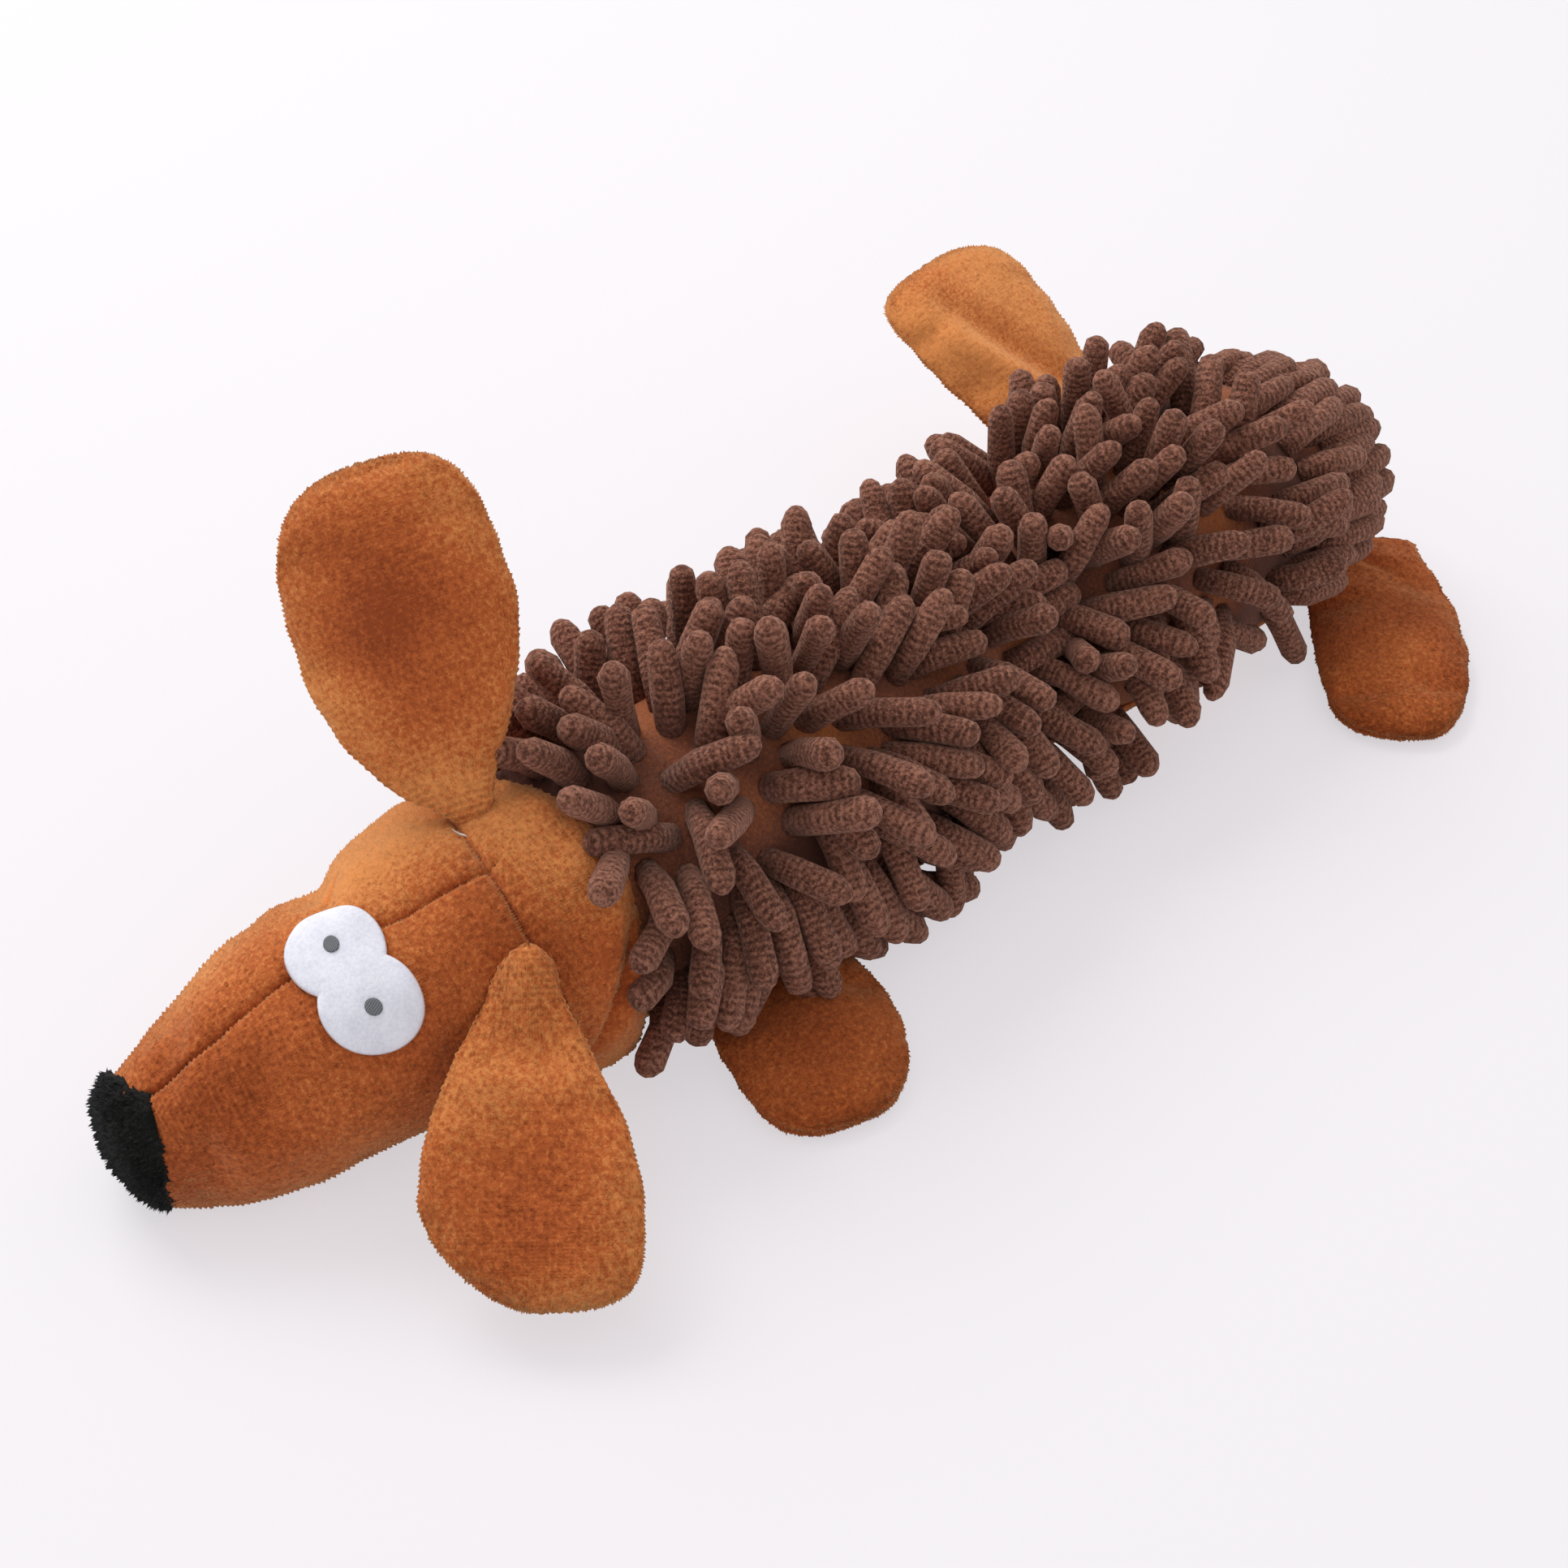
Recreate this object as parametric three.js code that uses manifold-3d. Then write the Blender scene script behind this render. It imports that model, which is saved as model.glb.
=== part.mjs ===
// A squeaky plush dachshund lying on its belly: a tan head with flap ears, a stuffed body under
// a thick brown mop coat, four flat feet, and a squeaker in the chest.
// Millimetres, +Z up, nose towards -Y, the toy's left side towards +X.
// The origin is on the floor, in the middle of the flat underside of the chest.
import * as THREE from 'three';
import { mergeVertices } from 'three/addons/utils/BufferGeometryUtils.js';
import Module from 'manifold-3d';

const wasm = await Module();
wasm.setup();

const radians = THREE.MathUtils.degToRad;

// Cloth and the gaps between sewn pieces
const plushThickness = 2.5;
const backingThickness = 2.2;
const pieceGap = 0.3;
const ballClearance = 1;

// The body's axis, from the neck over the chest and the waist to the rump
const neckReach = 51;
const waistReach = 61;
const rumpReach = 181;
const axisHeight = 29;
const neckSwing = 7.5;
const neckRise = 2.5;
const rumpSwing = 10;
const waistDrop = 1.5;

// The stuffed tube's outer radius, and how it swells and narrows along each half
const chestRadius = 31.5;
const hipsRadius = 31;
const chestSwellShares = [
  [0, 0.92], [0.08, 0.94], [0.3, 1], [0.55, 1], [0.8, 0.91], [0.95, 0.8], [1, 0.78],
];
const chestStationShares = [0, 0.12, 0.25, 0.38, 0.5, 0.62, 0.75, 0.88, 1];
const hipsStationShares = [0, 0.13, 0.27, 0.42, 0.56, 0.68, 0.79, 0.87, 0.93, 0.97, 1];
const hipsSwellShares = [
  [0, 0.79], [0.05, 0.81], [0.25, 0.95], [0.5, 1], [0.72, 0.94], [0.87, 0.78],
  [0.95, 0.56], [0.99, 0.3], [1, 0.12],
];

// Joints of the soft body: a ball of stuffing between two cups, with a bare band round it
const neckBallRadius = 26;
const neckBand = 17;
const waistBallRadius = 20.5;
const waistBand = 11.6;

// Head
const headLength = 107;
const headRadius = 32;
const headYawAngle = radians(15.3);
const headRiseAngle = radians(10.5);
const headRollAngle = radians(30);
const headSwellShares = [
  [0, 0.12], [0.012, 0.25], [0.035, 0.34], [0.075, 0.43], [0.13, 0.54], [0.2, 0.64], [0.34, 0.79], [0.5, 0.9],
  [0.66, 0.97], [0.8, 1], [0.92, 0.98], [1, 0.95],
];
const nosePatchLength = 7.8;
const noseStationShares = [0, 0.1, 0.25, 0.5, 0.75, 1];
const muzzleStationShares = [0, 0.1, 0.22, 0.35, 0.48, 0.61, 0.74, 0.87, 1];
const crownStationShares = [0, 0.5, 1];
const crownBand = 12.5;
const chinHalfAngle = radians(42);
const bellyHalfAngle = radians(57);
const bellyShares = [0, 0.325, 0.5, 0.675, 1];

// Eye patch: two joined circles of felt with a small pupil near the middle of each
const eyeLobeRadius = 10.4;
const eyeLobeSpread = 13.2;
const eyePatchShare = 0.5;
const eyePatchAngle = radians(29);
const feltThickness = 1.4;
const feltLift = 0.8;
const pupilRadius = 2.1;
const pupilThickness = 0.6;
const pupilSpread = 13.6;

// Ears: teardrops of two plush layers
const earLength = 65;
const earWidth = 44;
const earDish = 6;
const earDishShare = 0.5;
const earHingeLift = 3.8;
const earOutlineShares = [
  [0, 0.22], [0.1, 0.4], [0.25, 0.66], [0.45, 0.87], [0.62, 0.99], [0.76, 0.97],
  [0.88, 0.82], [0.96, 0.56], [1, 0.3],
];
const rightEarSetback = 17;
const rightEarAngle = radians(-5);
const rightEarAim = new THREE.Vector3(-0.62, 0.19, 0.81);
const leftEarSetback = 22.4;
const leftEarAngle = radians(50);
const leftEarAim = new THREE.Vector3(0.55, -0.56, -0.6);
const earSide = new THREE.Vector3(0.73, 0.68, 0);

// Feet: flat paddles of two plush layers, sewn into the seam beside the belly
const frontFootLength = 42;
const frontFootWidth = 38;
const rearFootLength = 70;
const rearFootWidth = 44;
const footCrown = 1.4;
const footCrownStartShare = 0.1;
const footRest = 0.5;
const footGap = 5.4;
const frontLeftHeadingAngle = radians(-19);
const frontRightHeadingAngle = radians(159);
const frontRightPitchAngle = radians(12);
const frontRightRise = 7;
const rearLeftHeadingAngle = radians(-43);
const rearLeftPitchAngle = radians(-1.4);
const rearLeftRise = 1.6;
const rearRightHeadingAngle = radians(183);
const rearRightPitchAngle = radians(35);
const rearRightRise = 11;
const footOutlineShares = [
  [0, 0.42], [0.12, 0.52], [0.35, 0.8], [0.62, 1], [0.82, 0.93], [0.94, 0.66], [1, 0.36],
];

// The mop coat, one thick layer over its backing, and the room it leaves for the feet to flop
const coatHeight = 19;
const chestCoatShares = [0, 0.7, 1, 1, 1, 1, 1, 0.75, 0];
const hipsCoatShares = [0, 0.85, 1, 1, 1, 1, 1, 1, 1, 1, 1];
const coatEdgeShares = [[0, 1], [0.6, 1], [0.8, 0.8], [1, 0]];
const coatClosingShare = 0.15;
const coatFootClearance = 8.5;
const coatFootMargin = 9;
const coatFloorClearance = 6;
const coatProbeShares = [0, 0.25, 0.5, 0.75, 1];
const footFlopAngle = radians(17);
const footRoomRootShare = 0.36;
const footRoomTipShare = 0.6;

// Squeaker: a folding bulb with a press-in valve
const squeakerRadius = 19;
const squeakerHeight = 22;
const squeakerWall = 1.2;
const squeakerFloor = 13;
const squeakerGap = 0.5;
const bulbBaseHeight = 4.5;
const bulbCapHeight = 5;
const bulbFolds = 3;
const bulbFoldDepth = 2;
const valveRadius = 4.5;
const valveHeight = 7;
const valveFlange = 6.5;
const reedWidth = 3;
const reedLength = 5;
const pocketClearance = 1.5;
const pocketMouthRadius = 11;
const capHollowShare = 0.8;
const capCrownShare = 0.82;
const reedFitShare = 0.9;

// Counts
const ballSteps = 20;
const mopSteps = 7;
const cheekSteps = 7;
const chinSteps = 4;
const latheSteps = 20;
const eyePatchSteps = 24;
const pupilSteps = 10;
const earAlongSteps = 8;
const earAcrossSteps = 5;
const footAlongSteps = 6;
const footAcrossSteps = 4;

// Shares of the way along a half of the body
const aimShare = 0.3;
const swingShare = 1 / 3;
const tinyShare = 0.01;

const up = new THREE.Vector3(0, 0, 1);

// Value at a place along a table of [share of the way, share of the size], on a smooth curve
function shareAlong(table, place) {
  const last = table.length - 1;
  const found = table.findIndex((row) => row[0] > place);
  const high = found < 0 ? last : Math.max(found, 1);
  const low = high - 1;
  const span = table[high][0] - table[low][0];
  const part = (place - table[low][0]) / span;
  const slope = (row) => {
    const before = table[Math.max(row - 1, 0)];
    const after = table[Math.min(row + 1, last)];
    return ((after[1] - before[1]) / (after[0] - before[0])) * span;
  };
  const square = part * part;
  const cube = square * part;
  return (
    (2 * cube - 3 * square + 1) * table[low][1] +
    (cube - 2 * square + part) * slope(low) +
    (3 * square - 2 * cube) * table[high][1] +
    (cube - square) * slope(high)
  );
}

function geometryOf(positions, index) {
  const geometry = new THREE.BufferGeometry();
  const flat = positions.flatMap((point) => point.toArray());
  geometry.setAttribute('position', new THREE.Float32BufferAttribute(flat, 3));
  geometry.setIndex(index);
  let volume = 0;
  for (let i = 0; i < index.length; i += 3) {
    const [a, b, c] = [positions[index[i]], positions[index[i + 1]], positions[index[i + 2]]];
    volume += a.dot(new THREE.Vector3().crossVectors(b, c));
  }
  if (volume < 0) {
    geometry.setIndex(index.map((_, i) => index[i - (i % 3) + [0, 2, 1][i % 3]]));
  }
  geometry.computeVertexNormals();
  return geometry;
}

// A closed solid through a row of rings, each a list of points, with both ends filled
function loft(rings) {
  const count = rings[0].length;
  const positions = rings.flat();
  const index = [];
  const quad = (a, b, c, d) => index.push(a, b, c, a, c, d);
  for (let ring = 0; ring < rings.length - 1; ring += 1) {
    for (let step = 0; step < count; step += 1) {
      const next = (step + 1) % count;
      quad(ring * count + step, ring * count + next, (ring + 1) * count + next, (ring + 1) * count + step);
    }
  }
  for (const [ring, forward] of [[0, false], [rings.length - 1, true]]) {
    const middle = new THREE.Vector3();
    rings[ring].forEach((point) => middle.addScaledVector(point, 1 / count));
    positions.push(middle);
    for (let step = 0; step < count; step += 1) {
      const pair = [ring * count + step, ring * count + ((step + 1) % count)];
      index.push(...(forward ? pair : pair.reverse()), positions.length - 1);
    }
  }
  return geometryOf(positions, index);
}

// A closed slab between two like grids of points, each point given by its row, column and layer
function slab(pointAt, stepsAlong, stepsAcross) {
  const positions = [];
  const index = [];
  const node = (layer, i, j) => (layer * (stepsAlong + 1) + i) * (stepsAcross + 1) + j;
  for (let layer = 0; layer < 2; layer += 1) {
    for (let i = 0; i <= stepsAlong; i += 1) {
      for (let j = 0; j <= stepsAcross; j += 1) {
        positions.push(pointAt(i, j, layer));
      }
    }
  }
  const quad = (a, b, c, d) => index.push(a, b, c, a, c, d);
  for (let i = 0; i < stepsAlong; i += 1) {
    for (let j = 0; j < stepsAcross; j += 1) {
      quad(node(0, i, j), node(0, i + 1, j), node(0, i + 1, j + 1), node(0, i, j + 1));
      quad(node(1, i, j), node(1, i, j + 1), node(1, i + 1, j + 1), node(1, i + 1, j));
    }
  }
  for (let i = 0; i < stepsAlong; i += 1) {
    const far = stepsAcross;
    quad(node(0, i, 0), node(1, i, 0), node(1, i + 1, 0), node(0, i + 1, 0));
    quad(node(0, i + 1, far), node(1, i + 1, far), node(1, i, far), node(0, i, far));
  }
  for (let j = 0; j < stepsAcross; j += 1) {
    const far = stepsAlong;
    quad(node(0, 0, j + 1), node(1, 0, j + 1), node(1, 0, j), node(0, 0, j));
    quad(node(0, far, j), node(1, far, j), node(1, far, j + 1), node(0, far, j + 1));
  }
  return geometryOf(positions, index);
}

function solidFrom(geometry) {
  const bare = geometry.clone();
  bare.deleteAttribute('normal');
  bare.deleteAttribute('uv');
  const merged = mergeVertices(bare);
  return new wasm.Manifold(
    new wasm.Mesh({
      numProp: 3,
      vertProperties: new Float32Array(merged.attributes.position.array),
      triVerts: new Uint32Array(merged.index.array),
    }),
  );
}

function geometryFrom(solid) {
  const mesh = solid.getMesh();
  const geometry = new THREE.BufferGeometry();
  geometry.setAttribute('position', new THREE.Float32BufferAttribute(mesh.vertProperties, 3));
  geometry.setIndex(Array.from(mesh.triVerts));
  geometry.computeVertexNormals();
  return geometry;
}

function cut(geometry, tools) {
  return geometryFrom(tools.reduce((solid, tool) => solid.subtract(solidFrom(tool)), solidFrom(geometry)));
}

// The three ball places of the soft body
const neckPivot = new THREE.Vector3(-neckSwing, -neckReach, axisHeight + neckRise);
const waistPivot = new THREE.Vector3(0, waistReach, axisHeight - waistDrop);
const rumpEnd = new THREE.Vector3(rumpSwing, rumpReach, axisHeight - waistDrop);
const chestMiddle = new THREE.Vector3(-neckSwing * swingShare, (waistReach - neckReach) / 2, axisHeight);
const hipsMiddle = new THREE.Vector3(rumpSwing * swingShare, (waistReach + rumpReach) / 2, axisHeight);

const headAim = new THREE.Vector3(
  Math.sin(headYawAngle) * Math.cos(headRiseAngle),
  Math.cos(headYawAngle) * Math.cos(headRiseAngle),
  Math.sin(headRiseAngle),
);
const waistAim = hipsMiddle.clone().sub(chestMiddle).normalize();
const rumpAim = rumpEnd.clone().sub(hipsMiddle).normalize();

// One half of the body, from one pivot to the next, whose sections turn from one aim to the other
function bodyHalf(points, aims, radius, swellShares, stations, coatShares, bareEnds) {
  const spine = new THREE.CatmullRomCurve3(points);
  const length = spine.getLength();
  const first = bareEnds[0] / length;
  const last = 1 - bareEnds[1] / length;
  return { spine, aims, radius, swellShares, stations, coatShares, length, first, last };
}

const chest = bodyHalf(
  [neckPivot, chestMiddle, waistPivot],
  [headAim, waistAim],
  chestRadius,
  chestSwellShares,
  chestStationShares,
  chestCoatShares,
  [neckBand / 2, waistBand / 2],
);
const hips = bodyHalf(
  [waistPivot, hipsMiddle, rumpEnd],
  [waistAim, rumpAim],
  hipsRadius,
  hipsSwellShares,
  hipsStationShares,
  hipsCoatShares,
  [waistBand / 2, 0],
);

// A point of the body's skin, pressed flat by the floor; the angle runs from the back towards the left side
function bodyPoint(half, place, angle, depth) {
  const within = Math.min(Math.max(place, 0), 1);
  const middleAim = half.spine.getTangentAt(within);
  const aim = middleAim.clone();
  if (within < aimShare) {
    aim.lerpVectors(half.aims[0], middleAim, within / aimShare);
  } else if (within > 1 - aimShare) {
    aim.lerpVectors(half.aims[1], middleAim, (1 - within) / aimShare);
  }
  aim.normalize();
  const side = new THREE.Vector3().crossVectors(aim, up).normalize();
  const rise = new THREE.Vector3().crossVectors(side, aim);
  const radius = Math.max(half.radius * shareAlong(half.swellShares, place) - depth, 0);
  const point = half.spine.getPointAt(within);
  point.addScaledVector(side, radius * Math.sin(angle));
  point.addScaledVector(rise, radius * Math.cos(angle));
  point.z = Math.max(point.z, depth);
  return point;
}

const headTurn = {
  side: new THREE.Vector3().crossVectors(headAim, up).normalize(),
  rise: new THREE.Vector3(),
};
headTurn.rise.crossVectors(headTurn.side, headAim);

// The head's outer radius at a reach from the tip of the nose
function headRadiusAt(reach) {
  return headRadius * shareAlong(headSwellShares, reach / headLength);
}

// A point of the head's skin, at a reach from the tip of the nose, resting on the floor
function headPoint(reach, angle, depth) {
  const radius = headRadiusAt(reach) - depth;
  const point = neckPivot.clone().addScaledVector(headAim, reach - headLength);
  point.addScaledVector(headTurn.side, radius * Math.sin(angle));
  point.addScaledVector(headTurn.rise, radius * Math.cos(angle));
  point.z = Math.max(point.z, depth);
  return point;
}

function ball(centre, radius) {
  const geometry = new THREE.SphereGeometry(radius, ballSteps, ballSteps / 2);
  return geometry.translate(centre.x, centre.y, centre.z);
}

const finishes = {
  plush: { color: 0xaf5f26, roughness: 0.9, metalness: 0 },
  nose: { color: 0x181a1a, roughness: 0.95, metalness: 0 },
  felt: { color: 0xebebf6, roughness: 0.9, metalness: 0 },
  pupil: { color: 0x6e7076, roughness: 0.7, metalness: 0 },
  mop: { color: 0x5c3c34, roughness: 0.95, metalness: 0 },
  stuffing: { color: 0xf0f0ec, roughness: 1, metalness: 0 },
  plastic: { color: 0xe8ecee, roughness: 0.35, metalness: 0 },
  reed: { color: 0xd9dde0, roughness: 0.3, metalness: 0 },
};

const toy = new THREE.Group();

function addPiece(name, geometry, finish, parent = toy) {
  const mesh = new THREE.Mesh(geometry, new THREE.MeshStandardMaterial(finishes[finish]));
  mesh.name = name;
  parent.add(mesh);
  return mesh;
}

// The head's rim stops short of the neck's pivot by half of the bare band
const headRim = headLength - neckBand / 2;
const crownSeam = headRim - crownBand;
const eyePatchReach = headLength * eyePatchShare;
const cheekSpan = Math.PI - chinHalfAngle;

function stepped(from, to, steps) {
  return Array.from({ length: steps + 1 }, (_, i) => from + ((to - from) * i) / steps);
}

function placed(from, to, shares) {
  return shares.map((share) => from + (to - from) * share);
}

const cheekRight = stepped(headRollAngle - cheekSpan, headRollAngle, cheekSteps);
const cheekLeft = stepped(headRollAngle, headRollAngle + cheekSpan, cheekSteps);
const chinStart = headRollAngle + cheekSpan;
const chinAngles = stepped(chinStart, chinStart + 2 * chinHalfAngle, chinSteps);
const muzzleReaches = placed(nosePatchLength, crownSeam, muzzleStationShares);
const crownReaches = placed(crownSeam, headRim, crownStationShares);
const headAngles = [...cheekRight.slice(0, -1), ...cheekLeft.slice(0, -1), ...chinAngles.slice(0, -1)];

function headLoft(depth, reaches) {
  return loft(reaches.map((reach) => headAngles.map((angle) => headPoint(reach, angle, depth))));
}

// Half a gap inwards at the first and last of a row of places
function edged(values, i, gap) {
  if (i === 0) return values[0] + gap / 2;
  return i === values.length - 1 ? values[i] - gap / 2 : values[i];
}

// A sewn panel of the head over rows of reaches and angles, less half a gap on every edge
function headPanel(reaches, angles) {
  return slab(
    (i, j, layer) => {
      const reach = edged(reaches, i, pieceGap);
      return headPoint(reach, edged(angles, j, pieceGap / headRadiusAt(reach)), layer * plushThickness);
    },
    reaches.length - 1,
    angles.length - 1,
  );
}

function addHead() {
  const noseReaches = placed(0, nosePatchLength, noseStationShares);
  const innerReaches = placed(plushThickness, nosePatchLength + plushThickness, noseStationShares);
  addPiece('nose_patch', cut(headLoft(0, noseReaches), [headLoft(plushThickness, innerReaches)]), 'nose');
  addPiece('muzzle_panel_left', headPanel(muzzleReaches, cheekLeft), 'plush');
  addPiece('muzzle_panel_right', headPanel(muzzleReaches, cheekRight), 'plush');
  addPiece('crown_panel_left', headPanel(crownReaches, cheekLeft), 'plush');
  addPiece('crown_panel_right', headPanel(crownReaches, cheekRight), 'plush');
  const skinReaches = [...muzzleReaches, ...crownReaches.slice(1)];
  addPiece('chin_gusset', headPanel(skinReaches, chinAngles), 'plush');
  const fill = plushThickness + pieceGap;
  const fillReaches = [...placed(fill, nosePatchLength, noseStationShares), ...skinReaches.slice(1)];
  const cup = ball(neckPivot, neckBallRadius + ballClearance);
  addPiece('head_stuffing', cut(headLoft(fill, fillReaches), [cup]), 'stuffing');
}

// The eye patch lies on the head: two joined circles, measured round the head and along it
function addEyes() {
  const radiusHere = headRadiusAt(eyePatchReach);
  const onHead = (across, along, height) => {
    const angle = eyePatchAngle + across / radiusHere;
    return headPoint(eyePatchReach + along, angle, -height);
  };
  const outline = (turn) => {
    const half = eyeLobeSpread / 2;
    const reach = Math.abs(Math.cos(turn)) * half;
    return reach + Math.sqrt(eyeLobeRadius ** 2 - (half * Math.sin(turn)) ** 2);
  };
  const ringOf = (height, reachAt, steps, share, middle) =>
    Array.from({ length: steps }, (_, step) => {
      const turn = (2 * Math.PI * step) / steps;
      const reach = reachAt(turn) * share;
      return onHead(middle + reach * Math.cos(turn), reach * Math.sin(turn), height);
    });
  const plate = (low, thickness, reachAt, steps, shares, middle) => {
    const under = shares.map((share) => ringOf(low, reachAt, steps, share, middle));
    const over = shares.map((share) => ringOf(low + thickness, reachAt, steps, share, middle));
    return loft([...under, ...over.reverse()]);
  };
  const patchShares = [0.5, 1];
  addPiece('eye_patch', plate(feltLift, feltThickness, outline, eyePatchSteps, patchShares, 0), 'felt');
  const pupilLift = feltLift + feltThickness + pieceGap;
  const pupilShares = [1];
  for (const [side, sign] of [['left', 1], ['right', -1]]) {
    const middle = (sign * pupilSpread) / 2;
    const pupil = plate(pupilLift, pupilThickness, () => pupilRadius, pupilSteps, pupilShares, middle);
    addPiece(`pupil_${side}`, pupil, 'pupil');
  }
}

// One layer of a flat teardrop: +X along it from its hinge, +Y across it, +Z out of its dished face
function paddleLayer(size, lowAt, highAt) {
  return slab(
    (i, j, layer) => {
      const place = i / size.stepsAlong;
      const half = (size.width / 2) * shareAlong(size.outlineShares, place);
      const aside = (2 * j) / size.stepsAcross - 1;
      const height = layer === 0 ? highAt(place, aside) : lowAt(place, aside);
      return new THREE.Vector3(size.length * place, half * aside, height);
    },
    size.stepsAlong,
    size.stepsAcross,
  );
}

const earSize = {
  length: earLength,
  width: earWidth,
  outlineShares: earOutlineShares,
  stepsAlong: earAlongSteps,
  stepsAcross: earAcrossSteps,
};

function addEar(side, reach, angle, aim) {
  const alongEar = aim.clone().normalize();
  const acrossEar = earSide.clone().addScaledVector(alongEar, -earSide.dot(alongEar)).normalize();
  const outOfEar = new THREE.Vector3().crossVectors(alongEar, acrossEar);
  const ear = new THREE.Group();
  ear.position.copy(headPoint(reach, angle, -earHingeLift));
  ear.quaternion.setFromRotationMatrix(new THREE.Matrix4().makeBasis(alongEar, acrossEar, outOfEar));
  toy.add(ear);
  const rim = (aside) => (aside * aside - earDishShare) * earDishShare;
  const dish = (place, aside) => earDish * Math.sin(Math.PI * place) * rim(aside);
  const face = (offset) => (place, aside) => dish(place, aside) + offset;
  const half = pieceGap / 2;
  const layers = [
    [`ear_${side}_front`, half, half + plushThickness],
    [`ear_${side}_back`, -half - plushThickness, -half],
  ];
  for (const [name, low, high] of layers) {
    addPiece(name, paddleLayer(earSize, face(low), face(high)), 'plush', ear);
  }
}

function addFoot(name, size, root, heading, pitch) {
  const foot = new THREE.Group();
  foot.position.copy(root);
  foot.rotation.set(0, -pitch, heading, 'ZYX');
  toy.add(foot);
  const bulge = (place) => Math.sin(Math.PI * Math.min(place + footCrownStartShare, 1));
  const crown = (place, aside) => footCrown * bulge(place) * (1 - aside * aside);
  const half = pieceGap / 2;
  const layers = [
    ['top', () => half, (place, aside) => half + plushThickness - footCrown / 2 + crown(place, aside)],
    ['bottom', () => -half - plushThickness, () => -half],
  ];
  for (const [layer, low, high] of layers) {
    addPiece(`foot_${name}_${layer}`, paddleLayer(size, low, high), 'plush', foot);
  }
}

// The height of a foot's middle plane when it lies flat
const footLevel = footRest + plushThickness + pieceGap / 2;

function footSize(length, width) {
  return {
    length,
    width,
    outlineShares: footOutlineShares,
    stepsAlong: footAlongSteps,
    stepsAcross: footAcrossSteps,
  };
}

// The place of a foot's root beside a half of the body, at a rise above the height of a foot that lies flat
function rootOn(half, place, angle, rise) {
  const root = bodyPoint(half, place, angle, -footGap);
  root.z = footLevel + rise;
  return root;
}

const frontFoot = footSize(frontFootLength, frontFootWidth);
const rearFoot = footSize(rearFootLength, rearFootWidth);
const rootShares = { frontLeft: 0.2, frontRight: 0.25, rearLeft: 0.985, rearRight: 0.68 };
const rootAngles = {
  frontLeft: radians(140),
  frontRight: radians(-125),
  rearLeft: radians(112),
  rearRight: radians(-120),
};

// The feet, each with its size, the place of its root, its heading, and how far it is raised
const feet = [
  [
    'front_left',
    frontFoot,
    rootOn(chest, rootShares.frontLeft, rootAngles.frontLeft, 0),
    frontLeftHeadingAngle,
    0,
  ],
  [
    'front_right',
    frontFoot,
    rootOn(chest, rootShares.frontRight, rootAngles.frontRight, frontRightRise),
    frontRightHeadingAngle,
    frontRightPitchAngle,
  ],
  [
    'rear_left',
    rearFoot,
    rootOn(hips, rootShares.rearLeft, rootAngles.rearLeft, rearLeftRise),
    rearLeftHeadingAngle,
    rearLeftPitchAngle,
  ],
  [
    'rear_right',
    rearFoot,
    rootOn(hips, rootShares.rearRight, rootAngles.rearRight, rearRightRise),
    rearRightHeadingAngle,
    rearRightPitchAngle,
  ],
];

// The mop panels meet along the back, and the belly panels close the underside between them
const mopSpan = Math.PI - bellyHalfAngle;
const mopRight = stepped(-mopSpan, 0, mopSteps);
const mopLeft = stepped(0, mopSpan, mopSteps);
const bellyAngles = placed(mopSpan, mopSpan + 2 * bellyHalfAngle, bellyShares);
const bodyAngles = [...mopRight.slice(0, -1), ...mopLeft.slice(0, -1), ...bellyAngles.slice(0, -1)];

function bodyPanel(half, angles) {
  return slab(
    (i, j, layer) => {
      const place = half.first + (half.last - half.first) * half.stations[i];
      const radius = half.radius * shareAlong(half.swellShares, place);
      return bodyPoint(half, place, edged(angles, j, pieceGap / radius), layer * backingThickness);
    },
    half.stations.length - 1,
    angles.length - 1,
  );
}

// The direction square out of the body's skin
function outward(half, place, angle) {
  const before = bodyPoint(half, place - tinyShare, angle, 0);
  const along = bodyPoint(half, place + tinyShare, angle, 0).sub(before);
  const clockwise = bodyPoint(half, place, angle - tinyShare, 0);
  const around = bodyPoint(half, place, angle + tinyShare, 0).sub(clockwise);
  return new THREE.Vector3().crossVectors(around, along).normalize();
}

// Whether the coat that stands on a point of the skin would be in the way of a foot, at rest or flopped up
function meetsFoot(root, aim) {
  const across = new THREE.Vector3(0, 1, 0);
  return feet.some(([, size, hinge, heading, pitch]) =>
    coatProbeShares.some((share) => {
      const point = root.clone().addScaledVector(aim, share * coatHeight).sub(hinge);
      point.applyAxisAngle(up, -heading).applyAxisAngle(across, pitch);
      const wayOut = Math.min(point.x / size.length, 1);
      const halfWidth = size.width * (footRoomRootShare + (footRoomTipShare - footRoomRootShare) * wayOut);
      const flopped = Math.tan(footFlopAngle) * Math.max(point.x, 0);
      const inLength = point.x > -coatFootClearance && point.x < size.length;
      const inWidth = Math.abs(point.y) < halfWidth + coatFootMargin;
      return inLength && inWidth && Math.abs(point.z) < flopped + coatFootClearance;
    }),
  );
}

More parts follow.
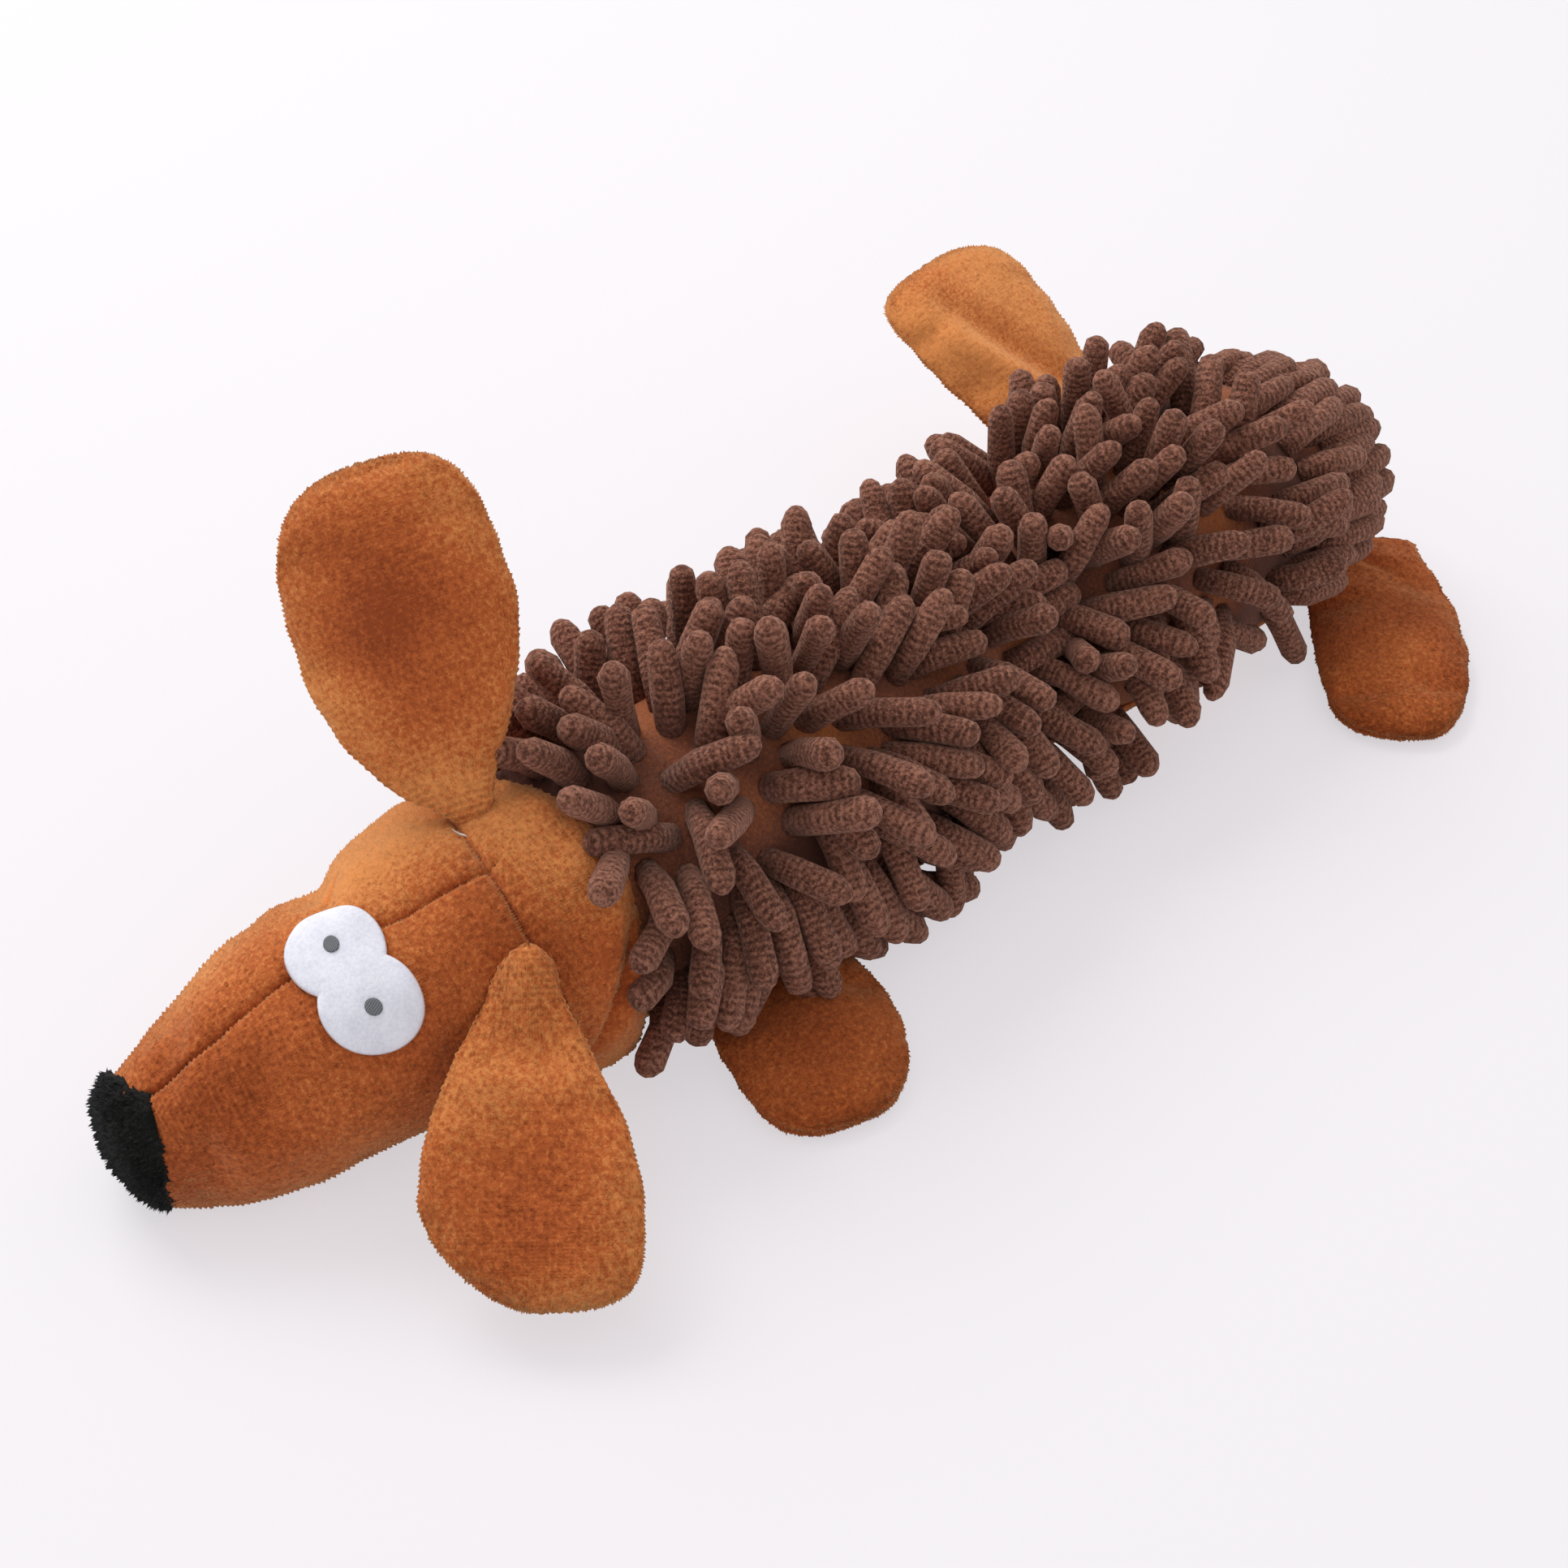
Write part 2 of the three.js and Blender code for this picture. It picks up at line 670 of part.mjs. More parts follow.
// A point of the coat's outer face at a station; the coat thins out to its seams and closes over the rump
function coatPoint(half, station, angle, around) {
  const last = half.stations.length - 1;
  const place = half.first + (half.last - half.first) * half.stations[station];
  const closes = half.last === 1 && station === last;
  const skin = bodyPoint(half, place, angle, 0);
  const out = closes ? rumpAim.clone() : outward(half, place, angle);
  const share = half.coatShares[station] * shareAlong(coatEdgeShares, around);
  if (closes) {
    skin.lerp(rumpEnd, share * (1 - coatClosingShare));
  } else if (meetsFoot(skin, out)) {
    return skin;
  }
  const point = skin.addScaledVector(out, coatHeight * share);
  point.z = Math.max(point.z, coatFloorClearance);
  return point;
}

// One side of the coat on its backing, from the seam along the back down to the belly's seam
function mopPanel(half, sign) {
  const angles = sign > 0 ? mopLeft : mopRight;
  return slab(
    (i, j, layer) => {
      const place = half.first + (half.last - half.first) * half.stations[i];
      const radius = half.radius * shareAlong(half.swellShares, place);
      const angle = edged(angles, j, pieceGap / radius);
      if (layer === 1) return bodyPoint(half, place, angle, backingThickness);
      return coatPoint(half, i, angle, Math.min(Math.abs(angles[j]) / mopSpan, 1));
    },
    half.stations.length - 1,
    angles.length - 1,
  );
}

function bodyLoft(half, depth) {
  const places = placed(half.first, half.last, half.stations);
  return loft(places.map((place) => bodyAngles.map((angle) => bodyPoint(half, place, angle, depth))));
}

function upright(radius, low, high) {
  const geometry = new THREE.CylinderGeometry(radius, radius, high - low, latheSteps).rotateX(Math.PI / 2);
  return geometry.translate(squeakerPlace.x, squeakerPlace.y, (low + high) / 2);
}

const squeakerShare = (neckBallRadius + ballClearance + squeakerGap + squeakerRadius) / chest.length;
const squeakerPlace = bodyPoint(chest, squeakerShare, 0, chestRadius);

function addBody() {
  const fill = backingThickness + pieceGap;
  const balls = {
    neck: ball(neckPivot, neckBallRadius + ballClearance),
    waist: ball(waistPivot, waistBallRadius + ballClearance),
  };
  addPiece('neck_stuffing', ball(neckPivot, neckBallRadius), 'stuffing');
  addPiece('waist_stuffing', ball(waistPivot, waistBallRadius), 'stuffing');
  const pocketTop = squeakerFloor + squeakerHeight + pocketClearance;
  const pocket = upright(squeakerRadius + pocketClearance, squeakerFloor - pieceGap, pocketTop);
  const mouth = upright(pocketMouthRadius, -pocketClearance, squeakerFloor);
  const chestFill = cut(bodyLoft(chest, fill), [balls.neck, balls.waist, pocket, mouth]);
  addPiece('chest_stuffing', chestFill, 'stuffing');
  addPiece('hips_stuffing', cut(bodyLoft(hips, fill), [balls.waist]), 'stuffing');
  for (const [name, half] of [['chest', chest], ['hips', hips]]) {
    addPiece(`${name}_belly_panel`, bodyPanel(half, bellyAngles), 'plush');
    addPiece(`${name}_mop_left`, mopPanel(half, 1), 'mop');
    addPiece(`${name}_mop_right`, mopPanel(half, -1), 'mop');
  }
}

function lathe(profile) {
  const points = profile.map(([radius, height]) => new THREE.Vector2(radius, height));
  points.push(points[0].clone());
  return new THREE.LatheGeometry(points, latheSteps).rotateX(Math.PI / 2);
}

// The squeaker stands on its base, the press face upwards
function addSqueaker() {
  const squeaker = new THREE.Group();
  squeaker.position.set(squeakerPlace.x, squeakerPlace.y, squeakerFloor);
  toy.add(squeaker);
  const inner = squeakerRadius - squeakerWall;
  const bore = valveRadius + pieceGap;
  const base = [
    [bore, 0],
    [squeakerRadius, 0],
    [squeakerRadius, bulbBaseHeight],
    [inner, bulbBaseHeight],
    [inner, squeakerWall],
    [bore, squeakerWall],
  ];
  addPiece('squeaker_base', lathe(base), 'plastic', squeaker);
  const wallLow = bulbBaseHeight + pieceGap;
  const wallHigh = squeakerHeight - bulbCapHeight - pieceGap;
  const outside = [];
  const inside = [];
  for (let step = 0; step <= 2 * bulbFolds; step += 1) {
    const height = wallLow + ((wallHigh - wallLow) * step) / (2 * bulbFolds);
    const drawn = step % 2 === 0 ? 0 : bulbFoldDepth;
    outside.push([squeakerRadius - drawn, height]);
    inside.unshift([inner - drawn, height]);
  }
  addPiece('squeaker_wall', lathe([...outside, ...inside]), 'plastic', squeaker);
  const capLow = squeakerHeight - bulbCapHeight;
  const cap = [
    [0, squeakerHeight - squeakerWall],
    [inner * capHollowShare, squeakerHeight - 2 * squeakerWall],
    [inner, capLow],
    [squeakerRadius, capLow],
    [squeakerRadius * capCrownShare, squeakerHeight - squeakerWall],
    [0, squeakerHeight],
  ];
  addPiece('squeaker_cap', lathe(cap), 'plastic', squeaker);
  const sound = reedWidth / 2 + pieceGap;
  const valve = [
    [sound, -squeakerWall],
    [valveFlange, -squeakerWall],
    [valveFlange, -pieceGap],
    [valveRadius, -pieceGap],
    [valveRadius, valveHeight],
    [sound, valveHeight],
  ];
  addPiece('squeaker_valve', lathe(valve), 'plastic', squeaker);
  const reed = new THREE.BoxGeometry(reedWidth * reedFitShare, pieceGap, reedLength);
  addPiece('squeaker_reed', reed.translate(0, 0, reedLength / 2), 'reed', squeaker);
}

addHead();
addEyes();
addEar('left', headLength - leftEarSetback, leftEarAngle, leftEarAim);
addEar('right', headLength - rightEarSetback, rightEarAngle, rightEarAim);
addBody();
feet.forEach((foot) => addFoot(...foot));
addSqueaker();

export default toy;
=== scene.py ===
"""A plush dachshund dog toy: a velour head with flap ears, four flat feet and a brown mop coat.

Sizes are in millimetres and turn into metres where a mesh is made. The nose points towards -Y,
the toy's left side towards +X, and the floor is at height nought.
"""

import functools
import logging
import math
from collections.abc import Callable
from dataclasses import dataclass, field
from enum import Enum

import bmesh
import bpy
import numpy as np
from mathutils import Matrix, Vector, noise


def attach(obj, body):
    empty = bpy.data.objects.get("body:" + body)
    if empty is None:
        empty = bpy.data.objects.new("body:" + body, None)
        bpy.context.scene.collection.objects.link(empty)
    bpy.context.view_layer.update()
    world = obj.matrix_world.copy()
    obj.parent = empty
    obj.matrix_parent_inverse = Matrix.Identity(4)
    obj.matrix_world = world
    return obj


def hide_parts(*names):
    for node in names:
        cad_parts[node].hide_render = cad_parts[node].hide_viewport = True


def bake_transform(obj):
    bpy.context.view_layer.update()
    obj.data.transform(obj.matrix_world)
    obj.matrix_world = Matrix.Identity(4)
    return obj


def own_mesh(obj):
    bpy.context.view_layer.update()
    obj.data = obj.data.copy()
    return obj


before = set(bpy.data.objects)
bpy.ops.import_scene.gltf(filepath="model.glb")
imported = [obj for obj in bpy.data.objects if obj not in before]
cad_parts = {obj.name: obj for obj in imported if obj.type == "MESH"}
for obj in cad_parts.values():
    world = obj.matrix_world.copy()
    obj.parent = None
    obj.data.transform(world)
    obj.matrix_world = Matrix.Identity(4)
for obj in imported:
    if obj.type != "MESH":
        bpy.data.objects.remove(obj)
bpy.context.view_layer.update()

MM = 0.001
JOIN = 1e-7
FULL_TURN = 2.0 * math.pi
UP = np.array((0.0, 0.0, 1.0))
LOWEST = 0.6
WHITE = (1.0, 1.0, 1.0, 1.0)
PILE_LEAN = 0.6
PILE_SCATTER = 0.25
SHORTEST_TUFT = 0.25

log = logging.getLogger("toy")

Points = np.ndarray
Surface = Callable[[Points, Points], Points]


class Slot(Enum):
    """The record's material slots, one named by each finish."""

    PLUSH = "plush"
    NOSE = "nose_plush"
    FELT = "felt"
    THREAD = "pupil_thread"
    MOP = "mop_pile"
    PLASTIC = "squeaker_plastic"
    REED = "reed_film"


class Side(Enum):
    """The toy's left and right, as the sign of a turn round the body."""

    LEFT = 1
    RIGHT = -1


# Numbers and shapes


def vector(x: float, y: float, z: float) -> Points:
    """A point or a direction."""
    return np.array((x, y, z), float)


def unit(values: Points) -> Points:
    """The same directions with a length of one."""
    return values / np.maximum(np.linalg.norm(values, axis=-1, keepdims=True), 1e-12)


def wave_noise(points: Points, size: float, seed: float) -> Points:
    """Soft noise over points.

    Args:
        points: Places in millimetres.
        size: The width of a lump in millimetres.
        seed: Moves the pattern.

    Returns:
        One value from -1 to 1 for each point.
    """
    moved = Vector((seed, seed, seed))
    return np.array([noise.noise(Vector(spot / size) + moved) for spot in points])


def valley(distance: Points, width: float) -> Points:
    """A smooth dip of depth one round a distance of nought."""
    return np.exp(-((distance / width) ** 2))


def smooth(value: Points, low: float, high: float) -> Points:
    """A soft step from nought at the low value to one at the high value."""
    part = np.clip((value - low) / (high - low), 0.0, 1.0)
    return part * part * (3 - 2 * part)


def angle_gap(angle: Points, middle: float) -> Points:
    """How many degrees an angle is away from a middle one given in degrees."""
    return np.abs(np.degrees(turned(angle - math.radians(middle))))


def turned(angle: Points) -> Points:
    """The same angle between minus and plus half a turn."""
    return (angle + math.pi) % FULL_TURN - math.pi


def hermite(part: Points) -> tuple[Points, ...]:
    """The weights of a soft curve's first place and slope, and of its last place and slope."""
    square, cube = part**2, part**3
    return 2 * cube - 3 * square + 1, cube - 2 * square + part, 3 * square - 2 * cube, cube - square


def curved(share: Points | float, root: Points, bend: Points, tip: Points) -> Points:
    """Points at a share of the way along a curve from a root, past a bend, to a tip."""
    return (1 - share) ** 2 * root + 2 * share * (1 - share) * bend + share * share * tip


@dataclass(frozen=True)
class ShareTable:
    """A smooth curve through rows of a place and a share."""

    rows: tuple[tuple[float, float], ...]

    def at(self, place: Points) -> Points:
        """The share at each place.

        Args:
            place: Places along the table.

        Returns:
            The shares there.
        """
        place = np.asarray(place, float)
        places, shares = np.array(self.rows).T
        last = len(places) - 1
        slopes = np.empty_like(shares)
        slopes[1:-1] = (shares[2:] - shares[:-2]) / (places[2:] - places[:-2])
        slopes[0] = (shares[1] - shares[0]) / (places[1] - places[0])
        slopes[-1] = (shares[-1] - shares[-2]) / (places[-1] - places[-2])
        high = np.clip(np.searchsorted(places, place, side="right"), 1, last)
        low = high - 1
        span = places[high] - places[low]
        start, leave, end, arrive = hermite((place - places[low]) / span)
        return (
            start * shares[low]
            + leave * slopes[low] * span
            + end * shares[high]
            + arrive * slopes[high] * span
        )


def sew(bm: bmesh.types.BMesh, filled: bool = False) -> None:
    """Joins edges that meet, fills the open ends where asked, and turns the faces outwards."""
    bmesh.ops.remove_doubles(bm, verts=bm.verts[:], dist=JOIN)
    if filled:
        bmesh.ops.holes_fill(bm, edges=[edge for edge in bm.edges if edge.is_boundary], sides=0)
    bmesh.ops.recalc_face_normals(bm, faces=bm.faces[:])


def woven(rows: int, columns: int, surface: Surface) -> bmesh.types.BMesh:
    """A closed skin: a grid laid on a surface, sewn where its edges meet, its open ends filled.

    Args:
        rows: Faces along the surface.
        columns: Faces round it.
        surface: Gives the place of each point from its way along and its way round, nought to one.

    Returns:
        The mesh in metres.
    """
    bm = bmesh.new()
    bmesh.ops.create_grid(bm, x_segments=rows, y_segments=columns, size=0.5)
    ways = np.array([vert.co for vert in bm.verts]) + 0.5
    for vert, spot in zip(bm.verts, surface(ways[:, 0], ways[:, 1]) * MM):
        vert.co = spot
    sew(bm, filled=True)
    return bm


def spline_weights(part: Points) -> tuple[Points, ...]:
    """The shares of four neighbours in a soft curve between the middle two."""
    rest = 1 - part
    return (
        rest**3 / 6,
        (3 * part**3 - 6 * part**2 + 4) / 6,
        (3 * rest**3 - 6 * rest**2 + 4) / 6,
        part**3 / 6,
    )


def spread(values: Points, along: Points, around: Points) -> Points:
    """Soft values between the points of a coarse grid that closes on itself.

    Args:
        values: The grid's values, by row, by column round the piece and by axis.
        along: Ways along the grid, nought to one.
        around: Ways round it.

    Returns:
        The values there.
    """
    rows, columns = values.shape[0] - 1, values.shape[1]
    row, column = np.clip(along, 0.0, 1.0) * rows, around * columns
    low, left = np.floor(row).astype(int), np.floor(column).astype(int)
    total = np.zeros((len(along), values.shape[2]))
    for i, down in enumerate(spline_weights(row - low)):
        for j, across in enumerate(spline_weights(column - left)):
            picked = values[np.clip(low + i - 1, 0, rows), (left + j - 1) % columns]
            total += (down * across)[:, None] * picked
    return total


@dataclass(frozen=True)
class Stuffing:
    """Filling pushed into a sewn skin, found by simulated cloth on a coarse copy of the skin."""

    rows: int = 26
    columns: int = 44
    pressure: float = 300.0
    stiffness: float = 60.0
    slack: float = 0.03
    frames: int = 20
    cap: float = 2.2

    def filled(self, surface: Surface, held: Surface) -> Surface:
        """How far the filling moves each point of a skin.

        Args:
            surface: The skin before it is filled.
            held: How firmly seams or the floor hold it, from nought to one.

        Returns:
            The moves for ways along the skin and round it.
        """
        rows = np.arange(self.rows + 1) / self.rows
        columns = np.arange(self.columns) / self.columns
        along, around = (way.ravel() for way in np.meshgrid(rows, columns, indexing="ij"))
        moves = np.zeros((len(along), 3))
        moves = self.simulate(surface, surface(along, around), held(along, around))
        moves = moves.reshape(self.rows + 1, self.columns, 3)
        return lambda way, turn: spread(moves, way, turn)

    def simulate(self, surface: Surface, spots: Points, holds: Points) -> Points:
        """Runs the cloth once.

        Args:
            surface: The skin.
            spots: The coarse grid's points.
            holds: How firmly each of them is held.

        Returns:
            How far each of them moves in millimetres, no further than the cap.
        """
        bm = woven(self.rows, self.columns, surface)
        mesh = bpy.data.meshes.new("filling")
        bm.to_mesh(mesh)
        bm.free()
        skin = bpy.data.objects.new("filling", mesh)
        scene = bpy.context.scene
        scene.collection.objects.link(skin)
        before = np.array([vert.co for vert in mesh.vertices]) / MM
        nearest = [int(np.argmin(((before - spot) ** 2).sum(1))) for spot in spots]
        seams = skin.vertex_groups.new(name="seams")
        for number, hold in zip(nearest, holds):
            seams.add([number], float(hold), "REPLACE")
        cloth = skin.modifiers.new("filling", "CLOTH")
        cloth.settings.use_pressure = True
        cloth.settings.uniform_pressure_force = self.pressure
        cloth.settings.tension_stiffness = self.stiffness
        cloth.settings.compression_stiffness = self.stiffness
        cloth.settings.shrink_min = -self.slack
        cloth.settings.vertex_group_mass = seams.name
        cloth.settings.effector_weights.gravity = 0.0
        cloth.point_cache.frame_start = 1
        cloth.point_cache.frame_end = self.frames
        for number in range(1, self.frames + 1):
            scene.frame_set(number)
        full = skin.evaluated_get(bpy.context.evaluated_depsgraph_get()).to_mesh()
        moves = (np.array([vert.co for vert in full.vertices]) / MM - before)[nearest]
        bpy.data.objects.remove(skin)
        scene.frame_set(1)
        reach = np.maximum(np.linalg.norm(moves, axis=1), JOIN)
        return moves * np.minimum(1.0, self.cap / reach)[:, None]


def raise_pile(bm: bmesh.types.BMesh, height: float, nap: Points, seed: int) -> None:
    """Pulls the middle of every face out into a tuft of pile.

    Args:
        bm: The skin.
        height: The longest tuft in millimetres.
        nap: The way that the pile is brushed.
        seed: Picks the scatter.
    """
    scatter = np.random.default_rng(seed)
    tufts = bmesh.ops.poke(bm, faces=bm.faces[:])["verts"]
    bm.normal_update()
    lean = Vector(nap)
    share = scatter.random(len(tufts))
    aside = scatter.normal(0.0, PILE_SCATTER, (len(tufts), 3))
    for tuft, tall, shift in zip(tufts, share, aside):
        aim = tuft.normal + lean * PILE_LEAN + Vector(shift)
        tuft.co += aim * (height * MM * (SHORTEST_TUFT + (1 - SHORTEST_TUFT) * tall))
        tuft.co.z = max(tuft.co.z, 0.0)


def paint_light_and_shade(bm: bmesh.types.BMesh, shade_at: Callable[[Points], Points]) -> None:
    """Marks painted light and shade on the pile: a vertex value that lightens or darkens its
    colour.

    Args:
        bm: The skin.
        shade_at: Gives the painted light and shade of points in millimetres, from -1, painted
            shade, to 1, painted light.
    """
    layer = bm.verts.layers.float.new("shade")
    shades = shade_at(np.array([vert.co for vert in bm.verts]) / MM)
    for vert, shade in zip(bm.verts, shades):
        vert[layer] = float(shade)


def place_piece(name: str, bm: bmesh.types.BMesh, finish: "Finish") -> bpy.types.Object:
    """Makes a scene object of a finished mesh.

    Args:
        name: The piece's name.
        bm: The mesh in metres, which is used up.
        finish: The finish that dresses it.

    Returns:
        The new object.
    """
    mesh = bpy.data.meshes.new(name)
    bm.to_mesh(mesh)
    bm.free()
    mesh.shade_smooth()
    mesh.materials.append(finish.material())
    piece = bpy.data.objects.new(name, mesh)
    bpy.context.scene.collection.objects.link(piece)
    log.info("%s: %d faces", name, len(mesh.polygons))
    return piece


# Finishes


def linear(red: int, green: int, blue: int) -> tuple[float, float, float, float]:
    """A screen colour from 0 to 255 as the light values that a shader takes."""
    parts = [value / 255.0 for value in (red, green, blue)]
    return (*(p / 12.92 if p <= 0.04045 else ((p + 0.055) / 1.055) ** 2.4 for p in parts), 1.0)


class Shading:
    """The nodes of one material, added one after another."""

    def __init__(self, name: str) -> None:
        """Starts a material whose surface is one plain shader."""
        self.material = bpy.data.materials.new(name)
        self.material.use_nodes = True
        self.tree = self.material.node_tree
        self.shader = self.tree.nodes["Principled BSDF"]

    def add(self, kind: str, links: dict | None = None, **settings: object) -> bpy.types.Node:
        """Adds a node.

        Args:
            kind: The node's type without its common first part.
            links: Input names, each with a constant or another node's output.
            settings: The node's own properties.

        Returns:
            The node.
        """
        node = self.tree.nodes.new("ShaderNode" + kind)
        for name, value in settings.items():
            setattr(node, name, value)
        self.feed(node, links or {})
        return node

    def feed(self, node: bpy.types.Node, links: dict) -> None:
        """Sets or links inputs of a node by their names or numbers."""
        for name, value in links.items():
            if isinstance(value, bpy.types.NodeSocket):
                self.tree.links.new(value, node.inputs[name])
            else:
                node.inputs[name].default_value = value

    def coordinates(self) -> bpy.types.NodeSocket:
        """The piece's own coordinates in metres."""
        return self.add("TexCoord").outputs["Object"]

    def grain(
        self, place: bpy.types.NodeSocket, size: float, detail: float = 2.0
    ) -> bpy.types.NodeSocket:
        """Noise whose lumps have a size in millimetres."""
        links = {"Vector": place, "Scale": 1.0 / (size * MM), "Detail": detail, "Roughness": 0.6}
        return self.add("TexNoise", links).outputs["Fac"]

    def mixed(self, first: object, second: object, how: str) -> bpy.types.NodeSocket:
        """Two values joined by a sum named in the Math node's words."""
        return self.add("Math", {0: first, 1: second}, operation=how).outputs[0]

    def total(self, parts: tuple) -> bpy.types.NodeSocket:
        """The sum of values, each times its own share."""
        sums = [self.mixed(value, share, "MULTIPLY") for value, share in parts]
        return functools.reduce(lambda first, second: self.mixed(first, second, "ADD"), sums)

    def ramp(self, value: bpy.types.NodeSocket, stops: tuple) -> bpy.types.NodeSocket:
        """Colours along a value.

        Args:
            value: What the colours follow.
            stops: Pairs of a place from nought to one and a colour.

        Returns:
            The colour.
        """
        node = self.add("ValToRGB", {"Fac": value})
        elements = node.color_ramp.elements
        while len(elements) < len(stops):
            elements.new(0.5)
        for element, (place, colour) in zip(elements, stops):
            element.position = place
            element.color = colour
        return node.outputs["Color"]

    def bump(
        self,
        height: bpy.types.NodeSocket,
        distance: float,
        strength: float,
        below: bpy.types.NodeSocket | None = None,
    ) -> bpy.types.NodeSocket:
        """A bump of a depth in millimetres, over another one where it is given."""
        links = {"Height": height, "Distance": distance * MM, "Strength": strength}
        if below is not None:
            links["Normal"] = below
        return self.add("Bump", links).outputs["Normal"]

    def surface(self, links: dict) -> bpy.types.Material:
        """Sets the shader's own sockets and gives back the finished material."""
        self.feed(self.shader, links)
        return self.material

    def cloth(
        self,
        colour: bpy.types.NodeSocket,
        normal: bpy.types.NodeSocket,
        sheen: tuple[float, float],
        glow: tuple = WHITE,
        dull: tuple[float, float] = (0.95, 0.1),
    ) -> bpy.types.Material:
        """A cloth's finished material, which shines softly at a low angle.

        Args:
            colour: Its colour.
            normal: Its bumps.
            sheen: How strong the soft shine is and how rough.
            glow: The soft shine's colour.
            dull: How rough the cloth is and how strong its hard shine.

        Returns:
            The material.
        """
        links = {
            "Base Color": colour,
            "Normal": normal,
            "Roughness": dull[0],
            "Specular IOR Level": dull[1],
            "Sheen Weight": sheen[0],
            "Sheen Roughness": sheen[1],
            "Sheen Tint": glow,
        }
        return self.surface(links)


@dataclass(frozen=True)
class Finish:
    """What every finish has: a name and the record's slot."""

    name: str
    slot: Slot

    def build(self, shading: Shading) -> bpy.types.Material:
        """Adds the finish's own nodes."""
        raise NotImplementedError

    def material(self) -> bpy.types.Material:
        """The material, made once and then shared."""
        return bpy.data.materials.get(self.name) or self.build(Shading(self.name))


@dataclass(frozen=True)
class PlushFinish(Finish):
    """Short velour pile, a little mottled, with light and shade painted into its colour."""

    # deep and light are the velour's shaded and lit tones: painted shade and painted light push the
    # colour to them, as does the mottling.
    deep: tuple = linear(153, 70, 34)
    middle: tuple = linear(196, 101, 50)
    light: tuple = linear(231, 148, 84)
    glow: tuple = linear(255, 206, 152)
    sheen: float = 0.75
    patch: float = 19.0
    tuft: float = 1.0
    fibre: float = 0.35

    def build(self, shading: Shading) -> bpy.types.Material:
        """Mottled colour with painted light and shade, and two sizes of pile."""
        place = shading.coordinates()
        broad = shading.grain(place, self.patch, 0.0)
        tuft = shading.grain(place, self.tuft)
        fibre = shading.grain(place, self.fibre)
        # Painted light and shade: the vertex value pushes the colour towards the shaded deep tone
        # or the lit light tone.
        shade = shading.add("Attribute", attribute_name="shade").outputs["Fac"]
        value = shading.total(((broad, 0.2), (tuft, 0.4), (fibre, 0.18), (shade, 0.14)))
        colour = shading.ramp(value, ((0.25, self.deep), (0.39, self.middle), (0.53, self.light)))
        normal = shading.bump(fibre, 0.25, 0.5, shading.bump(tuft, 0.5, 0.5))
        return shading.cloth(colour, normal, (self.sheen, 0.45), self.glow, (0.92, 0.15))


@dataclass(frozen=True)
class NoodleFinish(Finish):
    """Brown chenille: short loops in low ridges round each noodle, with painted shade in the
    grooves and painted highlights on the loops.
    """

    # groove is painted shade for the low places of the relief, light a painted highlight on the
    # high loops.
    groove: tuple = linear(78, 47, 38)
    ridge: tuple = linear(121, 77, 62)
    light: tuple = linear(164, 113, 94)
    glow: tuple = linear(236, 192, 172)
    ridge_pitch: float = 1.5
    loop: float = 0.8

    def build(self, shading: Shading) -> bpy.types.Material:
        """Loops over ridges that follow the strand attribute."""
        place = shading.coordinates()
        strand = shading.add("Attribute", attribute_name="strand").outputs["Vector"]
        parts = shading.add("SeparateXYZ", {0: strand})
        wobble = shading.grain(place, 3.0, 2.0)
        fibre = shading.grain(place, 0.45, 2.0)
        loops = shading.grain(place, self.loop, 1.0)
        along = shading.total(((parts.outputs["Y"], 1.0), (wobble, 2.5)))
        turn = shading.mixed(along, FULL_TURN / self.ridge_pitch, "MULTIPLY")
        ridge = shading.mixed(turn, 0.0, "SINE")
        height = shading.total(((loops, 0.55), (fibre, 0.35), (ridge, 0.06)))
        uneven = (parts.outputs["Z"], 0.03), (parts.outputs["X"], 0.02)
        tone = shading.total(((height, 1.0), *uneven))
        # The colour follows the relief's height: painted shade in the low places, painted
        # highlights on the high loops.
        colour = shading.ramp(tone, ((0.32, self.groove), (0.45, self.ridge), (0.6, self.light)))
        return shading.cloth(colour, shading.bump(height, 1.0, 0.85), (0.4, 0.5), self.glow)


@dataclass(frozen=True)
class FibreFinish(Finish):
    """Matted fibres or a brushed ground, with a broad change of colour."""

    stops: tuple
    broad: tuple[float, float, float]
    fine: tuple[float, float, float]
    relief: tuple[float, float]

    def build(self, shading: Shading) -> bpy.types.Material:
        """Two grains, each with its size, its detail and its share of the colour."""
        place = shading.coordinates()
        broad = shading.grain(place, *self.broad[:2])
        fine = shading.grain(place, *self.fine[:2])
        value = shading.total(((broad, self.broad[2]), (fine, self.fine[2])))
        colour = shading.ramp(value, self.stops)
        return shading.cloth(colour, shading.bump(fine, *self.relief), (0.2, 0.5))


@dataclass(frozen=True)
class ThreadFinish(Finish):
    """Satin stitches laid side by side."""

    deep: tuple = linear(88, 90, 94)
    light: tuple = linear(132, 134, 140)
    pitch: float = 1.2

    def build(self, shading: Shading) -> bpy.types.Material:
        """Stripes of thread."""
        wave = {"Vector": shading.coordinates(), "Scale": 1.0 / (self.pitch * MM)}
        stripes = shading.add("TexWave", {**wave, "Distortion": 1.5, "Detail": 1.0}).outputs["Fac"]
        links = {
            "Base Color": shading.ramp(stripes, ((0.0, self.deep), (1.0, self.light))),
            "Normal": shading.bump(stripes, 0.15, 0.6),
            "Roughness": 0.6,
        }
        return shading.surface(links)


